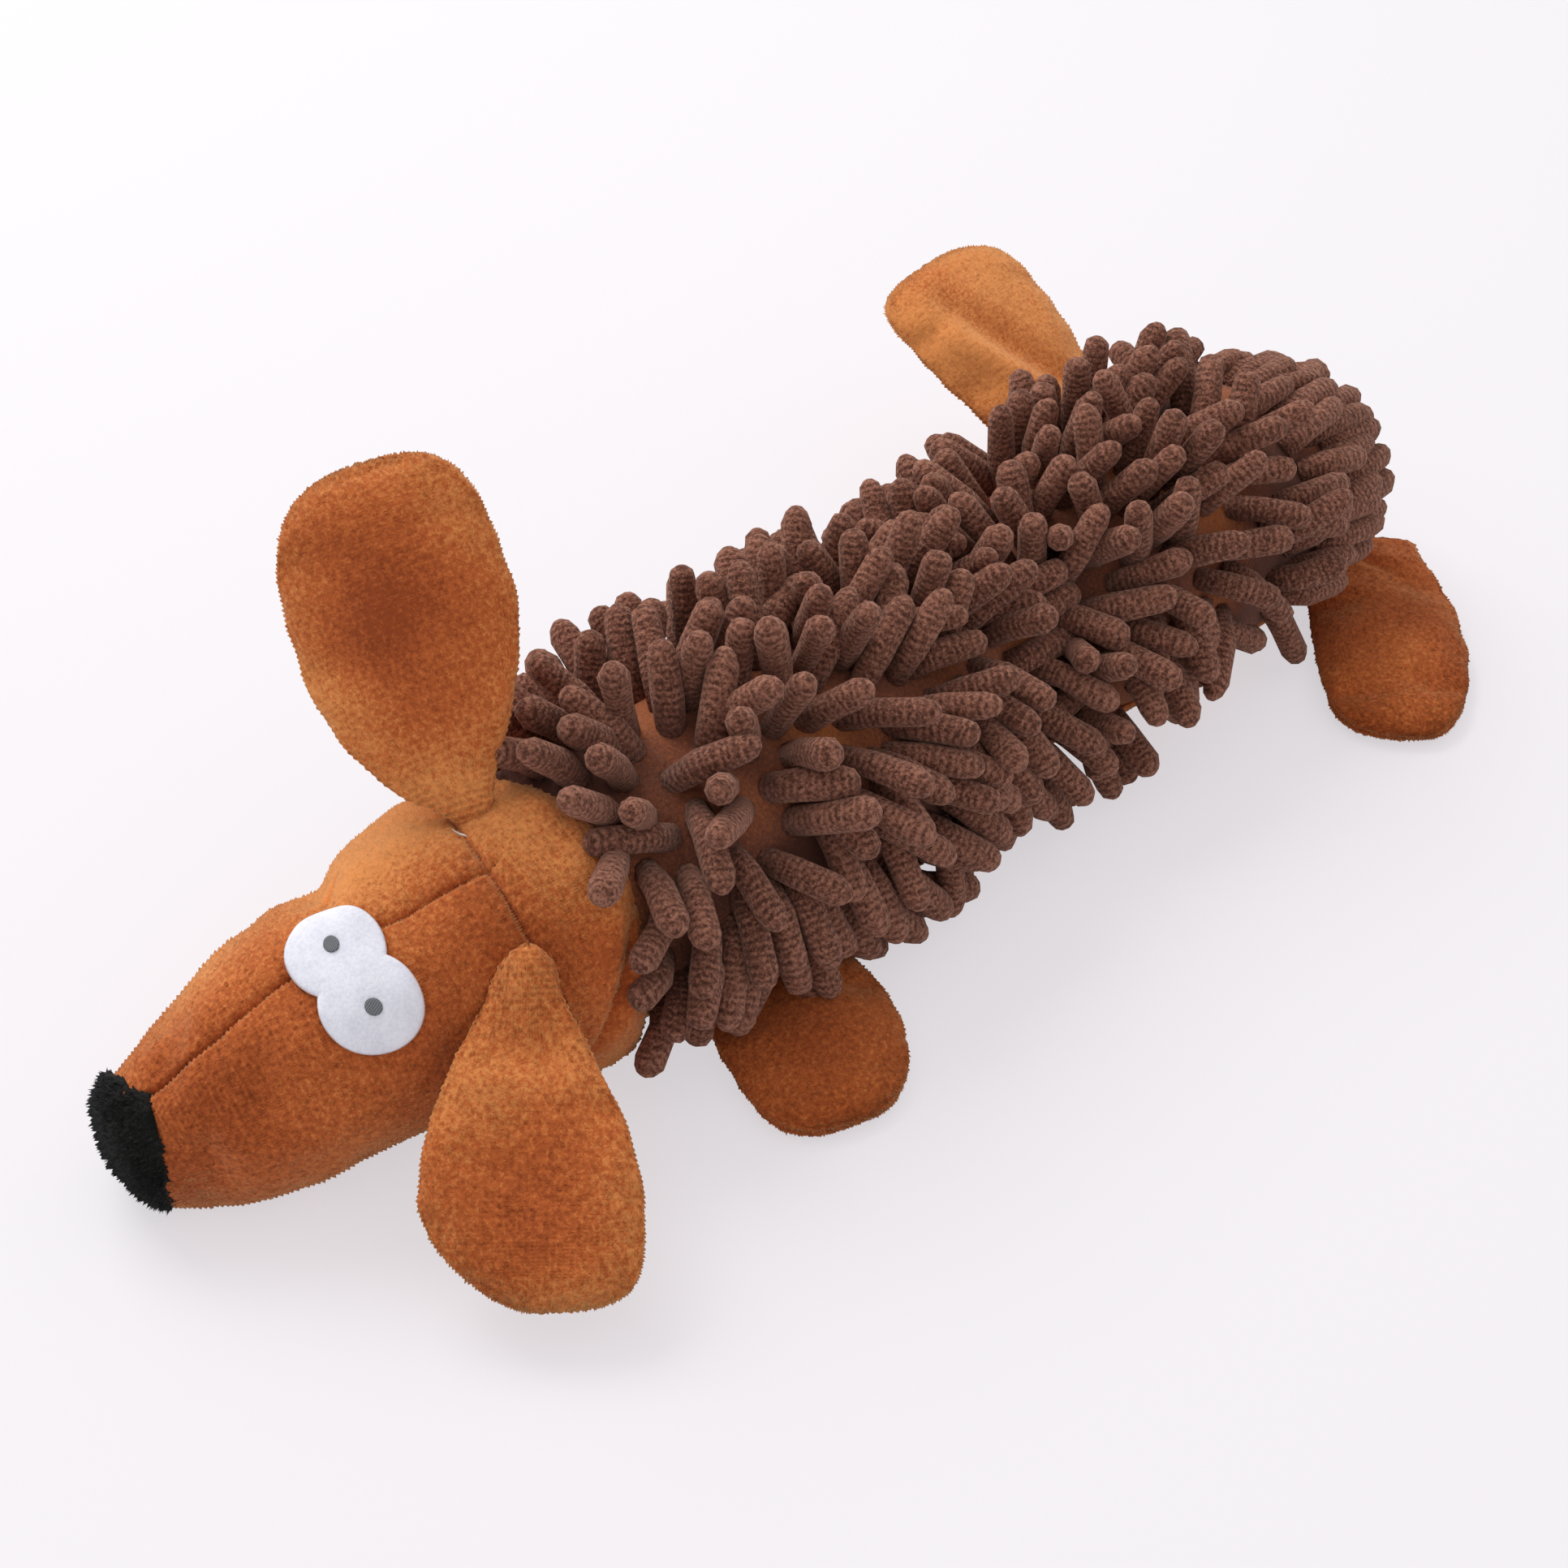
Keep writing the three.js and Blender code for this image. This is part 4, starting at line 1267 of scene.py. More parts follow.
@dataclass(frozen=True)
class Flap:
    """A flat teardrop of two velour layers, turned out and sewn in at its root."""

    name: str
    nodes: tuple[str, str]
    carrier: str
    body: str
    root: Points
    along: Points
    across: Points
    length: float
    width: float
    outline: Outline
    shift: float = 0.0
    thickness: float = 5.2
    dish: float = 0.0
    crown: float = 0.0
    peak: float = 0.0
    peak_width: float = 4.5
    flat_under: bool = False
    wave: float = 0.5
    tuck: float = 7.0
    rounded: float = 4.0
    groove: float = 0.8
    groove_width: float = 0.17
    pile: float = 0.5
    # Painted light or shade over the whole flap and in its middle, from -1 to 1.
    shade: tuple[float, float] = (0.0, 0.0)
    creases: tuple[Crease, ...] = ()
    bend_length: float = 9.0
    seed: int = 20
    rows: int = 84
    columns: int = 108

    def lie(self, way: Points, around: Points) -> tuple[Points, Points, Points, Points]:
        """Distances along and across the flap, and the shares of its depth and its upper side."""
        end = self.outline.end
        tucked = self.tuck / self.length
        place = -tucked + (end + tucked) * np.sin(way * math.pi / 2)
        aside = np.cos(around * FULL_TURN)
        rounding = np.sqrt(np.clip((place + tucked) * self.length / self.rounded, 0.0, 1.0))
        half = self.width / 2 * self.outline.at(place, aside) * rounding
        body = np.sqrt(np.clip(1 - aside**4, 0.0, 1.0)) * rounding
        body = body * np.sqrt(np.clip(1 - (np.clip(place, 0, 2) / end) ** 10, 0, 1))
        return self.length * place, half * aside, body, np.sin(around * FULL_TURN) > 0

    def plain(self, way: Points, around: Points) -> Points:
        """Points of the flap before it is filled."""
        x, y, body, over = self.lie(way, around)
        return self.stand(x, y, self.layer(x, y, body, over))

    def layer(self, x: Points, y: Points, body: Points, over: Points) -> Points:
        """The height of the upper or the under layer."""
        return self.bow(x, y, over) + np.where(over, 0.5, -0.5) * self.thickness * body

    def bow(self, x: Points, y: Points, over: Points) -> Points:
        """The height of the flap's middle, dished across its width and raised at its root."""
        place = np.clip(x / self.length, 0.0, 1.0)
        aside = np.clip(y / (self.width / 2), -1.0, 1.0)
        bulge = np.sin(math.pi * np.clip(place * 0.8 + 0.1, 0.0, 1.0))
        raised = np.where(over, 1.0, 0.0 if self.flat_under else 1.0)
        height = raised * self.crown * bulge * (1 - aside**2)
        height = height + self.dish * np.sin(math.pi * place) * (aside**2 - 0.5)
        return height + self.peak * valley(y, self.peak_width) * smooth(place, 0.38, 0.02)

    def stand(self, x: Points, y: Points, height: Points) -> Points:
        """Points over the flap's own plane, kept off the floor."""
        out = np.cross(self.along, self.across)
        aside = (y + self.shift)[:, None] * self.across
        point = self.root + x[:, None] * self.along + aside + height[:, None] * out
        point[:, 2] = np.maximum(point[:, 2], LOWEST)
        return point

    def held(self, way: Points, around: Points) -> Points:
        """How firmly the seam round the rim, the root and the floor hold the flap."""
        x, _, body, _ = self.lie(way, around)
        low = self.plain(way, around)[:, 2] < LOWEST + 0.3
        return np.where(low | (x < 0.0), 1.0, np.clip(1.5 - 2.2 * body, 0.0, 1.0))

    @functools.cached_property
    def filling(self) -> Surface:
        """How the filling swells the two layers inside their seam."""
        return Stuffing(rows=20, columns=36, cap=1.5).filled(self.plain, self.held)

    def surface(self, way: Points, around: Points) -> Points:
        """Points of the flap's skin for a closed grid."""
        x, y, body, over = self.lie(way, around)
        height = self.layer(x, y, body, over)
        spots = np.stack([x, y, np.zeros_like(x)], 1)
        ripple = self.wave * wave_noise(spots, 13.0, float(self.seed))
        ripple = ripple + 0.3 * self.wave * wave_noise(spots, 5.0, self.seed + 0.5)
        dips = sum((crease.at(x, y) for crease in self.creases), np.zeros_like(x))
        shown = np.where(over, 1.0, 0.15 if self.flat_under else 1.0)
        height = height + (ripple - dips) * shown * body
        seam = valley(np.sin(around * FULL_TURN), self.groove_width)
        y = y - np.sign(y) * np.minimum(self.groove, np.abs(y)) * seam
        point = self.stand(x, y, height) + self.filling(way, around)
        point[:, 2] = np.maximum(point[:, 2], LOWEST)
        return point

    def shade_at(self, spots: Points) -> Points:
        """The flap's painted light or shade as a whole, and its middle's painted light or shade on
        top of that.
        """
        rel = spots - self.root
        x, y = rel @ self.along / self.length, (rel @ self.across - self.shift) / self.width
        whole, middle = self.shade
        return whole + middle * valley(x - 0.62, 0.28) * valley(y, 0.3)

    def build(self) -> None:
        """Sews the flap, with pile brushed towards its tip."""
        bm = woven(self.rows, self.columns, self.surface)
        raise_pile(bm, self.pile, self.along, self.seed)
        # Paints light and shade into the velour's colour.
        paint_light_and_shade(bm, self.shade_at)
        piece = place_piece(self.name, bm, PLUSH)
        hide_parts(*self.nodes)
        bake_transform(piece)


FAR_EAR = Outline(Edge(0.24, 0.6, 1.02, 1.0, 3.5), Edge(0.24, 0.5, 1.02, 0.68, 2.6))
NEAR_EAR = Outline(Edge(0.2, 0.74, 0.97, 1.55, 4.0), Edge(0.2, 0.7, 0.95, 1.1, 1.6), end=1.01)
FRONT_FOOT = Outline(Edge(0.95, 0.3, 1.0, 1.0, 2.0), Edge(0.9, 0.55, 1.0, 1.0, 3.0))
REAR_LEFT_FOOT = Outline(Edge(0.7, 0.4, 0.84, 1.0, 1.9), Edge(0.66, 0.75, 0.92, 1.0, 2.6))
REAR_RIGHT_FOOT = Outline(Edge(0.4, 0.85, 1.0, 1.2, 4.0), Edge(0.4, 0.72, 1.05, 1.2, 2.6))
EAR_LIFT = 3.8
FOOT_GAP = 5.4
FOOT_LEVEL = 3.15


def ear(side: Side, place: tuple[float, float], aim: Points, **shape: object) -> Flap:
    """An ear in its place on the head.

    Args:
        side: The ear's side.
        place: Its root's distance from the neck's pivot, and its turn round the head in degrees.
        aim: The way it lies.
        shape: Its own outline, painted shade, seed, and how it is tucked and folded at its root.

    Returns:
        The ear.
    """
    along = unit(aim)
    level = vector(0.73, 0.68, 0.0)
    reach, turn = np.array([HEAD.length - place[0]]), np.array([math.radians(place[1])])
    name = side.name.lower()
    return Flap(
        name=f"ear_{name}_plush",
        nodes=(f"ear_{name}_front", f"ear_{name}_back"),
        carrier="head",
        body=f"ear_{name}",
        root=HEAD.skin(reach, turn, EAR_LIFT)[0],
        along=along,
        across=unit(level - along * (level @ along)),
        length=65.0,
        width=44.0,
        dish=3.6,
        wave=0.8,
        **shape,
    )


def foot(
    name: str,
    half: BodyHalf,
    place: tuple[float, float],
    lie: tuple[float, float, float],
    **shape: object,
) -> Flap:
    """A foot in its place beside the belly.

    Args:
        name: The foot's name.
        half: The half of the body that carries it.
        place: Its place along that half, and its turn round it in degrees.
        lie: Its heading and its pitch in degrees, and how far it is raised.
        shape: Its own size, outline, painted shade, folds, rows and seed.

    Returns:
        The foot.
    """
    heading, pitch = math.radians(lie[0]), math.radians(lie[1])
    root = half.skin(np.array([place[0]]), np.array([math.radians(place[1])]), FOOT_GAP)[0]
    root[2] = FOOT_LEVEL + lie[2]
    level = math.cos(pitch)
    return Flap(
        name=f"foot_{name}_plush",
        nodes=(f"foot_{name}_top", f"foot_{name}_bottom"),
        carrier="chest" if half is CHEST else "hips",
        body=f"foot_{name}",
        root=root,
        along=vector(math.cos(heading) * level, math.sin(heading) * level, math.sin(pitch)),
        across=vector(-math.sin(heading), math.cos(heading), 0.0),
        crown=1.2,
        flat_under=True,
        **shape,
    )


@dataclass
class Trunk:
    """The stuffed body under the coat: its knitted ground and its velour belly."""

    rows: int = 60
    columns: int = 96
    sunk: float = 0.3
    highest: float = 0.2
    overlap: float = 0.04
    belly_lift: float = 0.9
    belly_root: float = -1.6
    belly_pile: float = 0.3

    def build_ground(
        self, half: BodyHalf, name: str, first: float, last: float
    ) -> bpy.types.Object:
        """Sews one half of the tube that carries the noodles."""

        def surface(along: Points, around: Points) -> Points:
            place = first + (last - first) * along
            angle = around * FULL_TURN
            plain = half.skin(place, angle, 0.0)
            lumps = 0.8 * wave_noise(plain, 15.0, 8.0)
            out = -self.sunk + lumps + 0.2 * wave_noise(plain, 4.0, 9.0)
            return half.skin(place, angle, np.minimum(out, self.highest))

        bm = woven(self.rows, self.columns, surface)
        piece = place_piece(name, bm, BACKING)
        return piece

    def build_belly(self, half: BodyHalf, name: str, first: float, last: float) -> bpy.types.Object:
        """Sews the velour panel that closes the underside of one half."""

        def surface(along: Points, around: Points) -> Points:
            place = first + (last - first) * along
            turn = around * FULL_TURN
            aside = np.cos(turn)
            angle = math.pi + aside * (BELLY_HALF + self.overlap)
            rim = np.sqrt(np.clip(1 - aside**6, 0, 1))
            rim = rim * np.sqrt(np.clip(1 - (2 * along - 1) ** 12, 0, 1))
            out = np.where(np.sin(turn) > 0, self.belly_lift, self.belly_root)
            return half.skin(place, angle, out * rim)

        bm = woven(self.rows, self.columns, surface)
        raise_pile(bm, self.belly_pile, half.last_aim, 31)
        return place_piece(name, bm, PLUSH)

    def build(self) -> None:
        """Builds both halves and their belly panels."""
        chest_rim = CHEST.line(np.array([0.86]))[0][0]
        hips_rim = HIPS.line(np.array([0.14]))[0][0]
        chest = self.build_ground(CHEST, "chest_ground", 0.06, 1.0)
        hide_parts("chest_stuffing", "waist_stuffing")
        hips = self.build_ground(HIPS, "hips_ground", 0.0, 0.965)
        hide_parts("hips_stuffing")
        chest_belly = self.build_belly(CHEST, "chest_belly", 0.05, 0.995)
        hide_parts("chest_belly_panel")
        hips_belly = self.build_belly(HIPS, "hips_belly", 0.005, 0.985)
        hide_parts("hips_belly_panel")
        for piece in (chest, chest_belly):
            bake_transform(piece)
        for piece in (hips, hips_belly):
            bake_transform(piece)


@dataclass
class Mop:
    """The coat of soft chenille noodles over the back and the flanks."""

    radius: float = 3.35
    length: float = 21.5
    length_spread: float = 2.4
    row_pitch: float = 7.9
    column_pitch: float = 7.9
    lean: float = 0.36
    tuft: float = 0.8
    tuft_width: float = 21.0
    bare: float = 0.54
    loose: float = 4.0
    thinned: float = 0.14
    shifted: float = 0.3
    collar_cut: float = 0.24
    rump_cut: float = 0.4
    crowding: float = 1.02
    push: float = 0.3
    pull: float = 0.6
    least_stand: float = 0.24
    drawn_in: float = 0.97
    floor_gap: float = 0.6
    root_depth: float = 1.2
    top_angle: float = 30.0
    side_angle: float = 65.0
    hang_angle: float = 115.0
    edge: float = 0.06
    least_radius: float = 6.0
    half_length: float = 115.0
    under_cut: float = 6.0
    most_pulled: float = 20.0
    stiff: tuple[float, float] = (0.2, 0.27)
    cap_place: float = 0.93
    near_reach: ShareTable = ShareTable(
        (
            (0, 42), (0.34, 45), (0.57, 47), (0.7, 41), (0.8, 39), (0.94, 46), (1.12, 48),
            (1.24, 44), (1.38, 38), (1.5, 38), (1.68, 42), (1.84, 30), (1.93, 24),
        )
    )
    far_reach: ShareTable = ShareTable(
        (
            (0, 50), (0.18, 52), (0.3, 55), (0.56, 57), (0.86, 60), (1.06, 65), (1.36, 63),
            (1.55, 59), (1.7, 48), (1.86, 30), (1.93, 22),
        )
    )
    hem: ShareTable = ShareTable(
        (
            (0, 118), (0.55, 118), (0.66, 100), (0.82, 98), (0.93, 116), (1.15, 116), (1.26, 98),
            (1.5, 92), (1.62, 104), (1.75, 112), (2, 112),
        )
    )
    rounds: int = 40
    seed: int = 5
    rings: tuple[tuple[float, float], ...] = (
        (0.0, 0.0), (0.01, 0.92), (0.42, 0.98), (0.84, 1.0), (0.943, 0.766), (0.99, 0.342),
        (1.0, 0.0),
    )
    sides: int = 9

    def rows_of(self, half: BodyHalf, first: float, last: float) -> Points:
        """Places of the rows, spaced evenly over the flank."""
        place = np.linspace(first, last, 400)
        flank = half.skin(place, np.full_like(place, math.pi / 2), 0.0)
        reach = np.concatenate([[0.0], np.cumsum(np.linalg.norm(np.diff(flank, axis=0), axis=1))])
        count = max(2, round(reach[-1] / self.row_pitch))
        return np.interp((np.arange(count) + 0.5) / count * reach[-1], reach, place)

    def lay_out(
        self, half: BodyHalf, first: float, last: float, scatter: np.random.Generator
    ) -> tuple[Points, Points]:
        """Roots of one half's noodles.

        Args:
            half: The half that carries them.
            first: The place of its first edge.
            last: The place of its last edge.
            scatter: The random source.

        Returns:
            The places and the angles of the roots.
        """
        places, angles = [], []
        for number, place in enumerate(self.rows_of(half, first, last)):
            girth = 2 * MOP_SPAN * half.radius * float(half.swell.at(place))
            count = max(3, round(girth / self.column_pitch))
            offset = 0.25 if number % 2 else -0.25
            turn = -MOP_SPAN + (np.arange(count) + 0.5 + offset) / count * 2 * MOP_SPAN
            aside = scatter.uniform(-self.shifted, self.shifted, count) * self.column_pitch
            turn = turn + aside / max(girth / (2 * MOP_SPAN), self.least_radius)
            angles.extend(np.clip(turn, -MOP_SPAN + self.edge, MOP_SPAN - self.edge))
            shift = scatter.uniform(-self.shifted, self.shifted, count) * self.row_pitch
            places.extend(np.clip(place + shift / self.half_length, first, last))
        return np.array(places), np.array(angles)

    def comb(self, half: BodyHalf, place: Points, angle: Points) -> tuple[Points, Points]:
        """How the noodles lie before they settle.

        Args:
            half: The half that carries them.
            place: Places of their roots.
            angle: Turns of their roots.

        Returns:
            Their lean towards the rump and how far they hang.
        """
        near = smooth(angle, 0.0, math.radians(self.side_angle))
        top = valley(np.degrees(angle) - self.top_angle, self.top_angle)
        if half is CHEST:
            collar = smooth(place, 0.16, 0.04)
            lean = 0.1 + 0.35 * top * smooth(place, 0.25, 0.5) - 0.9 * collar
            return lean, 0.05 + (0.8 - 0.45 * collar) * near
        lean = 0.05 + 0.3 * top + 0.5 * smooth(place, 0.4, 0.85)
        return lean, 0.05 + 0.7 * near

    def pulled_in(self, tip: Points, loose: Points) -> Points:
        """Tips pulled back inside the coat's reach from the body's axis.

        Args:
            tip: The tips.
            loose: How far each may stay outside of it.

        Returns:
            The tips, a part of the way back.
        """
        place = np.linspace(0.0, 1.0, 41)
        lines = [half.line(part) for half, part in ((CHEST, place), (HIPS, place * self.cap_place))]
        centre, aim = (np.concatenate([line[k] for line in lines]) for k in range(2))
        nearest = np.argmin(((tip[:, None, :] - centre[None, :, :]) ** 2).sum(2), axis=1)
        apart = tip - centre[nearest]
        past = np.clip((apart * aim[nearest]).sum(1), 0.0, None) * (nearest == len(centre) - 1)
        apart = apart + aim[nearest] * past[:, None]
        gap = np.linalg.norm(apart, axis=1)
        side = unit(np.cross(aim, UP))[nearest]
        rise = np.cross(side, aim[nearest])
        angle = np.degrees(np.arctan2((apart * side).sum(1), (apart * rise).sum(1)))
        way = np.concatenate([place, 1.0 + place * self.cap_place])[nearest]
        far = self.far_reach.at(way) - self.under_cut * smooth(-angle, 60.0, 120.0)
        near = smooth(angle, 0.0, self.hang_angle)
        limit = far + (self.near_reach.at(way) - far) * near - self.radius
        excess = np.clip(gap - limit - loose, 0.0, self.most_pulled)
        return tip - apart / gap[:, None] * (self.pull * excess)[:, None]

    def bend(self, root: Points, out: Points, tip: Points) -> Points:
        """The points that noodles curve towards between their roots and their tips."""
        out_share, tip_share = self.stiff
        return root + out * (out_share * self.length) + (tip - root) * tip_share

    def settle(
        self, root: Points, out: Points, tip: Points, reach: Points, loose: Points
    ) -> Points:
        """Lets the noodles push each other apart and rest on the floor.

        Args:
            root: Their roots.
            out: The skin's outward directions at the roots.
            tip: Their tips to begin with.
            reach: Their lengths.
            loose: How far outside the coat's reach each may stay.

        Returns:
            The settled tips.
        """
        shares = np.array([0.4, 0.7, 1.0])
        owner = np.repeat(np.arange(len(root)), len(shares))
        weight = np.tile(shares**2, len(root))
        room = 2 * self.radius * self.crowding
        lowest = self.radius + self.floor_gap
        for _ in range(self.rounds):
            bend = self.bend(root, out, tip)
            spots = np.stack([curved(share, root, bend, tip) for share in shares], 1).reshape(-1, 3)
            apart = spots[:, None, :] - spots[None, :, :]
            gap = np.linalg.norm(apart, axis=2)
            near = (gap < room) & (owner[:, None] != owner[None, :])
            push = np.where(near, (room - gap) / np.maximum(gap, 0.1), 0.0)
            move = (apart * push[:, :, None]).sum(1) * weight[:, None] * self.push
            tip = self.pulled_in(tip + move.reshape(len(root), -1, 3).sum(1), loose)
            tip[:, 2] = np.maximum(tip[:, 2], lowest)
            aim = unit(tip - root)
            lift = np.clip(self.least_stand - (aim * out).sum(1), 0.0, None)[:, None]
            tip = root + unit(aim + out * lift) * (reach * self.drawn_in)[:, None]
            tip[:, 2] = np.maximum(tip[:, 2], lowest)
        return tip

    def grow(
        self, half: BodyHalf, place: Points, angle: Points, scatter: np.random.Generator
    ) -> tuple[Points, ...]:
        """Stands noodles on the skin, combed and a little at random.

        Args:
            half: The half that carries them.
            place: Places of their roots.
            angle: Turns of their roots.
            scatter: The random source.

        Returns:
            Their roots, outward directions, tips and lengths.
        """
        out = half.outward(place, angle)
        root = half.skin(place, angle, -self.root_depth)
        along = unit(half.skin(place + 0.01, angle, 0.0) - half.skin(place - 0.01, angle, 0.0))
        way = place + (half is HIPS)
        tuft = self.tuft * (0.2 + 0.8 * smooth(way, 0.3, 0.5))
        drift, droop = self.comb(half, place, angle)
        drift = drift + scatter.normal(0, self.lean, len(place))
        drift = drift + tuft * wave_noise(root, self.tuft_width, 11.0)
        aside = scatter.normal(0, self.lean, len(place))
        aside = aside + tuft * wave_noise(root, self.tuft_width, 17.0)
        combed = along * drift[:, None]
        aim = unit(out + combed + np.cross(along, out) * aside[:, None] - UP * droop[:, None])
        reach = self.length + scatter.uniform(-1, 1, len(place)) * self.length_spread
        near = smooth(np.degrees(angle), 20.0, 60.0)
        shorter = self.collar_cut * smooth(way, 0.16, 0.06) * near
        reach = reach * (1.0 - shorter) * (1.0 - self.rump_cut * smooth(way, 1.86, 1.96))
        return root, out, root + aim * reach[:, None], reach

    def covers(
        self, way: Points, angle: Points, root: Points, scatter: np.random.Generator
    ) -> Points:
        """Which noodles the coat has, between its hem, its partings and its thin places.

        Args:
            way: Places of their roots along the whole body.
            angle: Turns of their roots.
            root: Their roots.
            scatter: The random source.

        Returns:
            True for each noodle that stands.
        """
        turn = np.degrees(angle)
        covered = (wave_noise(root, 20.0, 6.0) < self.bare) | (way < 0.3)
        sparse = np.maximum(valley(way - 1.7, 0.2), smooth(-turn, 20.0, 60.0))
        covered = covered & (scatter.random(len(way)) > self.thinned * sparse)
        return covered & (turn < self.hem.at(way))

    def strands(self, flaps: list[Flap]) -> dict[str, tuple]:
        """Places every noodle and lets them settle together.

        Args:
            flaps: The feet, which noodles lie clear of.

        Returns:
            For each coat piece, its roots, outward directions, tips and lengths.
        """
        scatter = np.random.default_rng(self.seed)
        groups = {}
        for name, half, first, last in (("chest", CHEST, 0.0, 0.985), ("hips", HIPS, 0.02, 0.97)):
            place, angle = self.lay_out(half, first, last, scatter)
            grown = self.grow(half, place, angle, scatter)
            keep = self.covers(place + (half is HIPS), angle, grown[0], scatter)
            keep = keep & ~self.meets_flaps(grown[0], grown[2], flaps)
            behind = (half is HIPS) | (place >= COLLAR)
            picks = {
                f"{name}_mop_{side.name.lower()}": keep & (angle * side.value >= 0) & behind
                for side in Side
            }
            if half is CHEST:
                picks["collar"] = keep & ~behind
            for part, mine in picks.items():
                groups[part] = tuple(values[mine] for values in grown)
        root, out, tip, reach = (np.concatenate(values) for values in zip(*groups.values()))
        tip = self.settle(root, out, tip, reach, scatter.random(len(root)) * self.loose)
        cuts = np.cumsum([len(group[0]) for group in groups.values()])[:-1]
        settled = zip(*(np.split(values, cuts) for values in (root, out, tip, reach)))
        return dict(zip(groups, settled))

    def meets_flaps(self, root: Points, tip: Points, flaps: list[Flap]) -> Points:
        """Which noodles would stand in a foot.

        Args:
            root: Their roots.
            tip: Their tips.
            flaps: The feet.

        Returns:
            True for each noodle that would.
        """
        met = np.zeros(len(root), bool)
        for flap in flaps:
            out = np.cross(flap.along, flap.across)
            for share in (0.2, 0.6, 1.0):
                spot = root + (tip - root) * share - flap.root
                x, y, z = spot @ flap.along, spot @ flap.across, spot @ out
                inside = (x > -2.0) & (x < flap.length) & (np.abs(y) < flap.width / 2 * 0.9)
                met |= inside & (np.abs(z) < self.radius + flap.thickness / 2 + 1.0)
        return met

    def noodle(
        self, root: Points, out: Points, tip: Points, scatter: np.random.Generator
    ) -> Surface:
        """One noodle's surface, bent from square at its root to its tip."""
        shares, sizes = np.array(self.rings).T
        uneven = scatter.uniform(0.9, 1.08, len(sizes))
        sizes = sizes * uneven * self.radius * scatter.uniform(0.94, 1.04)
        bend = self.bend(root, out, tip)
        level = unit(np.cross(out, vector(0.31, 0.47, 0.83)))

        def surface(along: Points, around: Points) -> Points:
            ring = np.rint(along * (len(shares) - 1)).astype(int)
            share = shares[ring][:, None]
            aim = unit(2 * (1 - share) * (bend - root) + 2 * share * (tip - bend))
            side = unit(level - aim * (aim @ level)[:, None])
            turn = (around * FULL_TURN)[:, None]
            rim = side * np.cos(turn) + np.cross(aim, side) * np.sin(turn)
            return curved(share, root, bend, tip) + sizes[ring][:, None] * rim

        return surface

    def build_coat(self, name: str, strands: tuple, seed: int) -> bpy.types.Object:
        """Makes one coat piece of all its noodles.

        Args:
            name: The piece's name and its node's.
            strands: Roots, outward directions, tips and lengths.
            seed: Picks the noodles' unevenness.

        Returns:
            The piece.
        """
        scatter = np.random.default_rng(seed)
        bm = bmesh.new()
        layer = bm.verts.layers.float_vector.new("strand")
        start = 0
        shares = np.array(self.rings)[:, 0]
        last = len(shares) - 1
        for root, out, tip, reach in zip(*strands):
            bmesh.ops.create_grid(bm, x_segments=last, y_segments=self.sides, size=0.5)
            bm.verts.ensure_lookup_table()
            fresh = bm.verts[start:]
            ways = np.array([vert.co for vert in fresh]) + 0.5
            spots = self.noodle(root, out, tip, scatter)(ways[:, 0], ways[:, 1]) * MM
            spots[:, 2] = np.maximum(spots[:, 2], 0.0)
            offset, tint = scatter.uniform(0, 10), scatter.uniform(-1, 1)
            for vert, spot, way in zip(fresh, spots, ways):
                vert.co = spot
                along = offset + shares[round(way[0] * last)] * reach
                vert[layer] = Vector((way[1], along, tint))
            start = len(bm.verts)
        sew(bm)
        return place_piece(f"{name}_noodles", bm, NOODLE)

    def build(self, flaps: list[Flap]) -> None:
        """Builds the coat's pieces."""
        chest_rim = tuple(CHEST.line(np.array([0.8]))[0][0] * MM)
        hips_rim = tuple(HIPS.line(np.array([0.2]))[0][0] * MM)
        for number, (name, strands) in enumerate(self.strands(flaps).items()):
            piece = self.build_coat(name, strands, 40 + number)
            if name == "collar":
                collar_end()
                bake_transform(piece)
                continue
            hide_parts(name)
            if name.startswith("chest"):
                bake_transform(piece)
            else:
                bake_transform(piece)


@dataclass
class Squeaker:
    """The squeaker in the chest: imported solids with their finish, and a wall that folds."""

    plastic: tuple[str, ...] = ("squeaker_base", "squeaker_cap", "squeaker_valve")
    folds: int = 3
    fold_depth: float = 2.0
    wall: float = 1.2
    sides: int = 48
    kept: float = 0.17

    def dress(self) -> None:
        """Gives each solid its material."""
        for name, finish in [*((node, PLASTIC) for node in self.plastic), ("squeaker_reed", REED)]:
            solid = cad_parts[name]
            solid.data.materials.clear()
            solid.data.materials.append(finish.material())
            log.info("%s dressed", name)

    def build_folds(self) -> None:
        """Moulds the folding wall at its full height; the real wall flattens as the cap is pressed.
        """
        solid = np.array([vert.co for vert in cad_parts["squeaker_wall"].data.vertices]) / MM
        low, high = solid.min(0), solid.max(0)
        centre = (low + high) / 2
        steps = np.arange(2 * self.folds + 1)
        reach = (high - low)[0] / 2 - self.fold_depth * (steps % 2)
        outside = np.stack([reach, low[2] + (high - low)[2] * steps / steps[-1]], 1)
        profile = np.vstack([outside, outside[::-1] - (self.wall, 0.0), outside[:1]])

        def surface(along: Points, around: Points) -> Points:
            out, height = profile[np.rint(along * (len(profile) - 1)).astype(int)].T
            turn = around * FULL_TURN
            x, y = centre[0] + out * np.cos(turn), centre[1] + out * np.sin(turn)
            return np.stack([x, y, height], 1)

        bm = woven(len(profile) - 1, self.sides, surface)
        folds = place_piece("squeaker_folds", bm, PLASTIC)
        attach(folds, "chest")
        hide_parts("squeaker_wall")
        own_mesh(folds)


